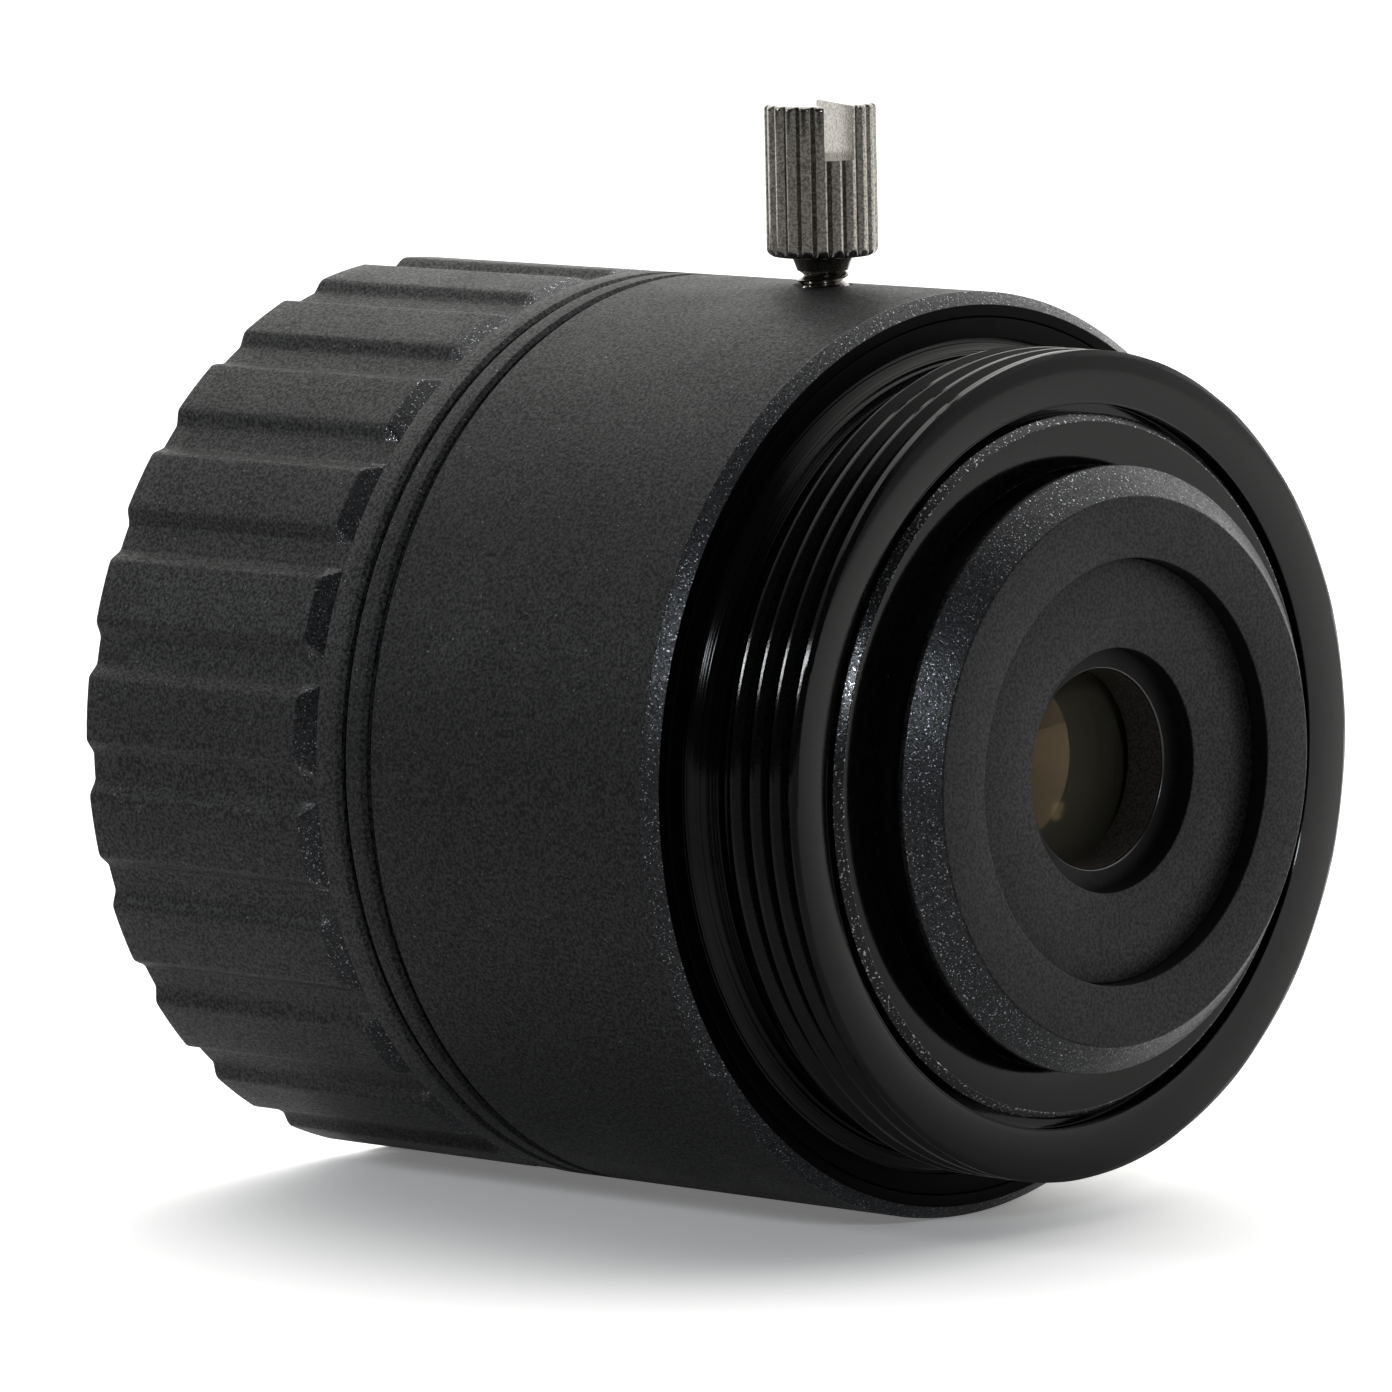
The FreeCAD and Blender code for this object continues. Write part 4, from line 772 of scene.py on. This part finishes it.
# Lock screw: knurled head with rounded lands, slot and helical thread
def make_lock_screw():
    ridges = 21
    facing = math.radians(-47)

    def knurled(z, limit):
        def at(angle):
            part = ((angle - facing) / (2 * math.pi) * ridges + 0.5) % 1.0 - 0.5
            return z, min(SCREW_HEAD - 0.17 * abs(2 * part) ** 2.6, limit)
        return at

    def rounded_end(place, way, size):
        """Rows of the head's rounded edge, from its end face round to its side."""
        turns = [math.pi / 2 * step / ARC_STEPS for step in range(ARC_STEPS + 1)]
        return [knurled(place + way * size * (1 - math.cos(turn)),
                        SCREW_HEAD - size * (1 - math.sin(turn))) for turn in turns]

    shape = ramp([(0.0, SCREW_SHANK), (0.12, SCREW_SHANK), (0.5, SCREW_ROOT),
                  (0.62, SCREW_ROOT), (1.0, SCREW_SHANK)])
    envelope = ramp([(SCREW_END, SCREW_ROOT), (SCREW_END + 0.2, SCREW_SHANK),
                     (SCREW_THREAD_TOP - 0.13, SCREW_SHANK),
                     (SCREW_THREAD_TOP, SCREW_SHANK - 0.04)])
    lines, meets = thread_lines(SCREW_END, SCREW_THREAD_TOP, SCREW_PITCH, SCREW_END + 0.05,
                                shape, envelope, per_turn=10)
    rows = [fixed(SCREW_END, 0.0)] + lines
    # The neck flares towards the head: distance below the head, and step out from the shank
    for below, out in ((0.44, -0.01), (0.24, 0.06), (0.09, 0.12), (0.03, 0.17), (0.0, 0.24),
                       (0.0, 0.6)):
        rows.append(fixed(SCREW_HEAD_BOTTOM - below, SCREW_SHANK + out))
    rows += rounded_end(SCREW_HEAD_BOTTOM, 1, LOWER_EDGE)
    rows += [knurled(SCREW_HEAD_BOTTOM + 1.2, SCREW_HEAD),
             knurled(SCREW_HEAD_TOP - 1.2, SCREW_HEAD)]
    rows += rounded_end(SCREW_HEAD_TOP, -1, UPPER_EDGE)[::-1]
    rows += [fixed(SCREW_HEAD_TOP, 1.2), fixed(SCREW_HEAD_TOP, 0.0)]
    shift = [0] + [1 + meet for meet in meets] + list(range(1 + len(lines), len(rows)))
    angles = even_angles(ridges * 16)
    points, faces = sweep(rows, angles, along_screw, closed=False, shift=shift)
    piece = finish_mesh("knurled_screw", points, faces, "lock_screw", NICKEL,
                        ["lock_screw"])
    turn = math.radians(-27)
    along = Vector((math.cos(turn), math.sin(turn))) * 2.4
    across = Vector((-math.sin(turn), math.cos(turn))) * (SLOT_WIDTH / 2)
    corners = (along + across, across - along, -along - across, along - across)
    box_points = [((SCREW_X + corner.x) * MM, corner.y * MM, z * MM)
                  for z in (SCREW_HEAD_TOP - SLOT_DEPTH, SCREW_HEAD_TOP + 0.4)
                  for corner in corners]
    box_faces = [(0, 1, 2, 3), (4, 5, 6, 7), (0, 1, 5, 4), (1, 2, 6, 5), (2, 3, 7, 6),
                 (3, 0, 4, 7)]
    cut_away(piece, box_points, box_faces)


def dress_cad_nodes():
    """Materials of the CAD nodes that stay."""
    finishes = {
        "helicoid_sleeve": INNER_BLACK_AND_SHADE, "inner_barrel": INNER_BLACK_AND_SHADE, "aperture_stop": INNER_BLACK_AND_SHADE,
        "front_spacer": INNER_BLACK_AND_SHADE, "middle_spacer": INNER_BLACK_AND_SHADE, "stop_spacer": INNER_BLACK_AND_SHADE,
        "rear_spacer": INNER_BLACK_AND_SHADE, "stop_pin": STEEL, "guide_pin": STEEL, "lock_pad": NYLON,
        "second_element": INNER_GLASS, "middle_element": INNER_GLASS,
        "doublet_front": INNER_GLASS, "doublet_rear": INNER_GLASS,
    }
    for name, material in finishes.items():
        mesh = nodes[name].data
        mesh.materials.clear()
        mesh.materials.append(material)


# Floor, background and lights
def sees_background(tree, share):
    """1 for the camera, and the share for reflections and for what shows through glass."""
    light_path = add(tree, "ShaderNodeLightPath")
    mirrored = add(tree, "ShaderNodeMath", operation="MAXIMUM")
    tree.links.new(light_path.outputs["Is Glossy Ray"], mirrored.inputs[0])
    tree.links.new(light_path.outputs["Is Transmission Ray"], mirrored.inputs[1])
    part = add(tree, "ShaderNodeMath", operation="MULTIPLY")
    tree.links.new(mirrored.outputs[0], part.inputs[0])
    tree.links.new(share, part.inputs[1])
    either = add(tree, "ShaderNodeMath", operation="MAXIMUM")
    tree.links.new(light_path.outputs["Is Camera Ray"], either.inputs[0])
    tree.links.new(part.outputs[0], either.inputs[1])
    return either.outputs[0]


def towards(tree, direction, aim):
    """How far a direction or a place lies towards an aim."""
    node = add(tree, "ShaderNodeVectorMath", operation="DOT_PRODUCT")
    node.inputs[1].default_value = Vector(aim).normalized()
    tree.links.new(direction, node.inputs[0])
    return node.outputs["Value"]


def make_stage():
    material, tree = new_material("pale_floor")
    diffuse = add(tree, "ShaderNodeBsdfDiffuse")
    coordinates = add(tree, "ShaderNodeTexCoord").outputs["Object"]
    cloud = grain_height(tree, coordinates, 12, 3.0)
    mix = add(tree, "ShaderNodeMix", data_type="RGBA")
    mix.inputs["A"].default_value = (0.33, 0.33, 0.34, 1)
    mix.inputs["B"].default_value = (0.37, 0.37, 0.37, 1)
    tree.links.new(cloud, mix.inputs["Factor"])
    tree.links.new(mix.outputs["Result"], diffuse.inputs["Color"])
    white = add(tree, "ShaderNodeBsdfDiffuse")
    white.inputs["Color"].default_value = (1.0, 1.0, 1.0, 1)
    glow = add(tree, "ShaderNodeEmission", Strength=0.16)
    paler = add(tree, "ShaderNodeAddShader")
    tree.links.new(diffuse.outputs[0], paler.inputs[0])
    tree.links.new(white.outputs[0], paler.inputs[1])
    both = add(tree, "ShaderNodeAddShader")
    tree.links.new(paler.outputs[0], both.inputs[0])
    tree.links.new(glow.outputs[0], both.inputs[1])
    behind = span(tree, towards(tree, coordinates, (-0.30, 0.85, 0.0)), 0.0, 1.0, -0.04, 0.05)
    choose = add(tree, "ShaderNodeMixShader")
    tree.links.new(sees_background(tree, behind), choose.inputs[0])
    tree.links.new(diffuse.outputs[0], choose.inputs[1])
    tree.links.new(both.outputs[0], choose.inputs[2])
    output = add(tree, "ShaderNodeOutputMaterial")
    tree.links.new(choose.outputs[0], output.inputs[0])
    reach = 3.0
    mesh = bpy.data.meshes.new("floor")
    z = -BARREL * MM
    mesh.from_pydata([(-reach, -reach, z), (reach, -reach, z), (reach, reach, z),
                      (-reach, reach, z)], [], [(0, 1, 2, 3)])
    mesh.materials.append(material)
    floor = bpy.data.objects.new("floor", mesh)
    bpy.context.scene.collection.objects.link(floor)


def make_world():
    """White to the camera; as a light, a broad glow behind the lens and one from its left."""
    world = bpy.data.worlds.new("studio")
    bpy.context.scene.world = world
    world.use_nodes = True
    tree = world.node_tree
    tree.nodes.clear()
    direction = add(tree, "ShaderNodeTexCoord").outputs["Generated"]
    behind = towards(tree, direction, (-0.30, 0.85, 0.42))
    left = towards(tree, direction, (-0.70, 0.45, 0.60))
    strength = add(tree, "ShaderNodeMath", operation="ADD")
    tree.links.new(span(tree, behind, 0.0, 1.8, 0.1, 0.8), strength.inputs[0])
    tree.links.new(span(tree, left, 0.0, 0.9, 0.4, 0.9), strength.inputs[1])
    room = add(tree, "ShaderNodeBackground")
    room.inputs["Color"].default_value = (1.0, 0.995, 0.965, 1)
    tree.links.new(strength.outputs[0], room.inputs["Strength"])
    white = add(tree, "ShaderNodeBackground", Strength=1.0)
    white.inputs["Color"].default_value = (1, 1, 1, 1)
    backdrop = span(tree, behind, 0.05, 0.6, 0.3, 0.9)
    choose = add(tree, "ShaderNodeMixShader")
    tree.links.new(sees_background(tree, backdrop), choose.inputs[0])
    tree.links.new(room.outputs[0], choose.inputs[1])
    tree.links.new(white.outputs[0], choose.inputs[2])
    output = add(tree, "ShaderNodeOutputWorld")
    tree.links.new(choose.outputs[0], output.inputs[0])


def area_light(name, place, size, power, colour):
    """Rectangular light, turned to the middle of the lens."""
    data = bpy.data.lights.new(name, "AREA")
    data.shape = "RECTANGLE"
    data.size, data.size_y = size
    data.energy = power
    data.color = colour
    lamp = bpy.data.objects.new(name, data)
    bpy.context.scene.collection.objects.link(lamp)
    lamp.location = place
    aim = Vector((-0.009, 0, 0)) - Vector(place)
    lamp.rotation_euler = aim.to_track_quat("-Z", "Y").to_euler()


def make_lights():
    area_light("side_window", (-0.406, -0.397, 0.215), (0.014, 0.11), 0.42, (0.93, 0.96, 1.0))
    area_light("camera_fill", (0.37, -0.29, 0.175), (0.05, 0.05), 0.38, (0.86, 0.93, 1.0))


make_camera()
make_barrel()
make_mount()
make_guide_ring()
make_collar()
make_grip()
make_rear_cell()
make_glass()
make_front()
make_lock_screw()
dress_cad_nodes()
make_stage()
make_world()
make_lights()
bpy.context.scene.view_settings.view_transform = "Standard"

bpy.context.view_layer.update()
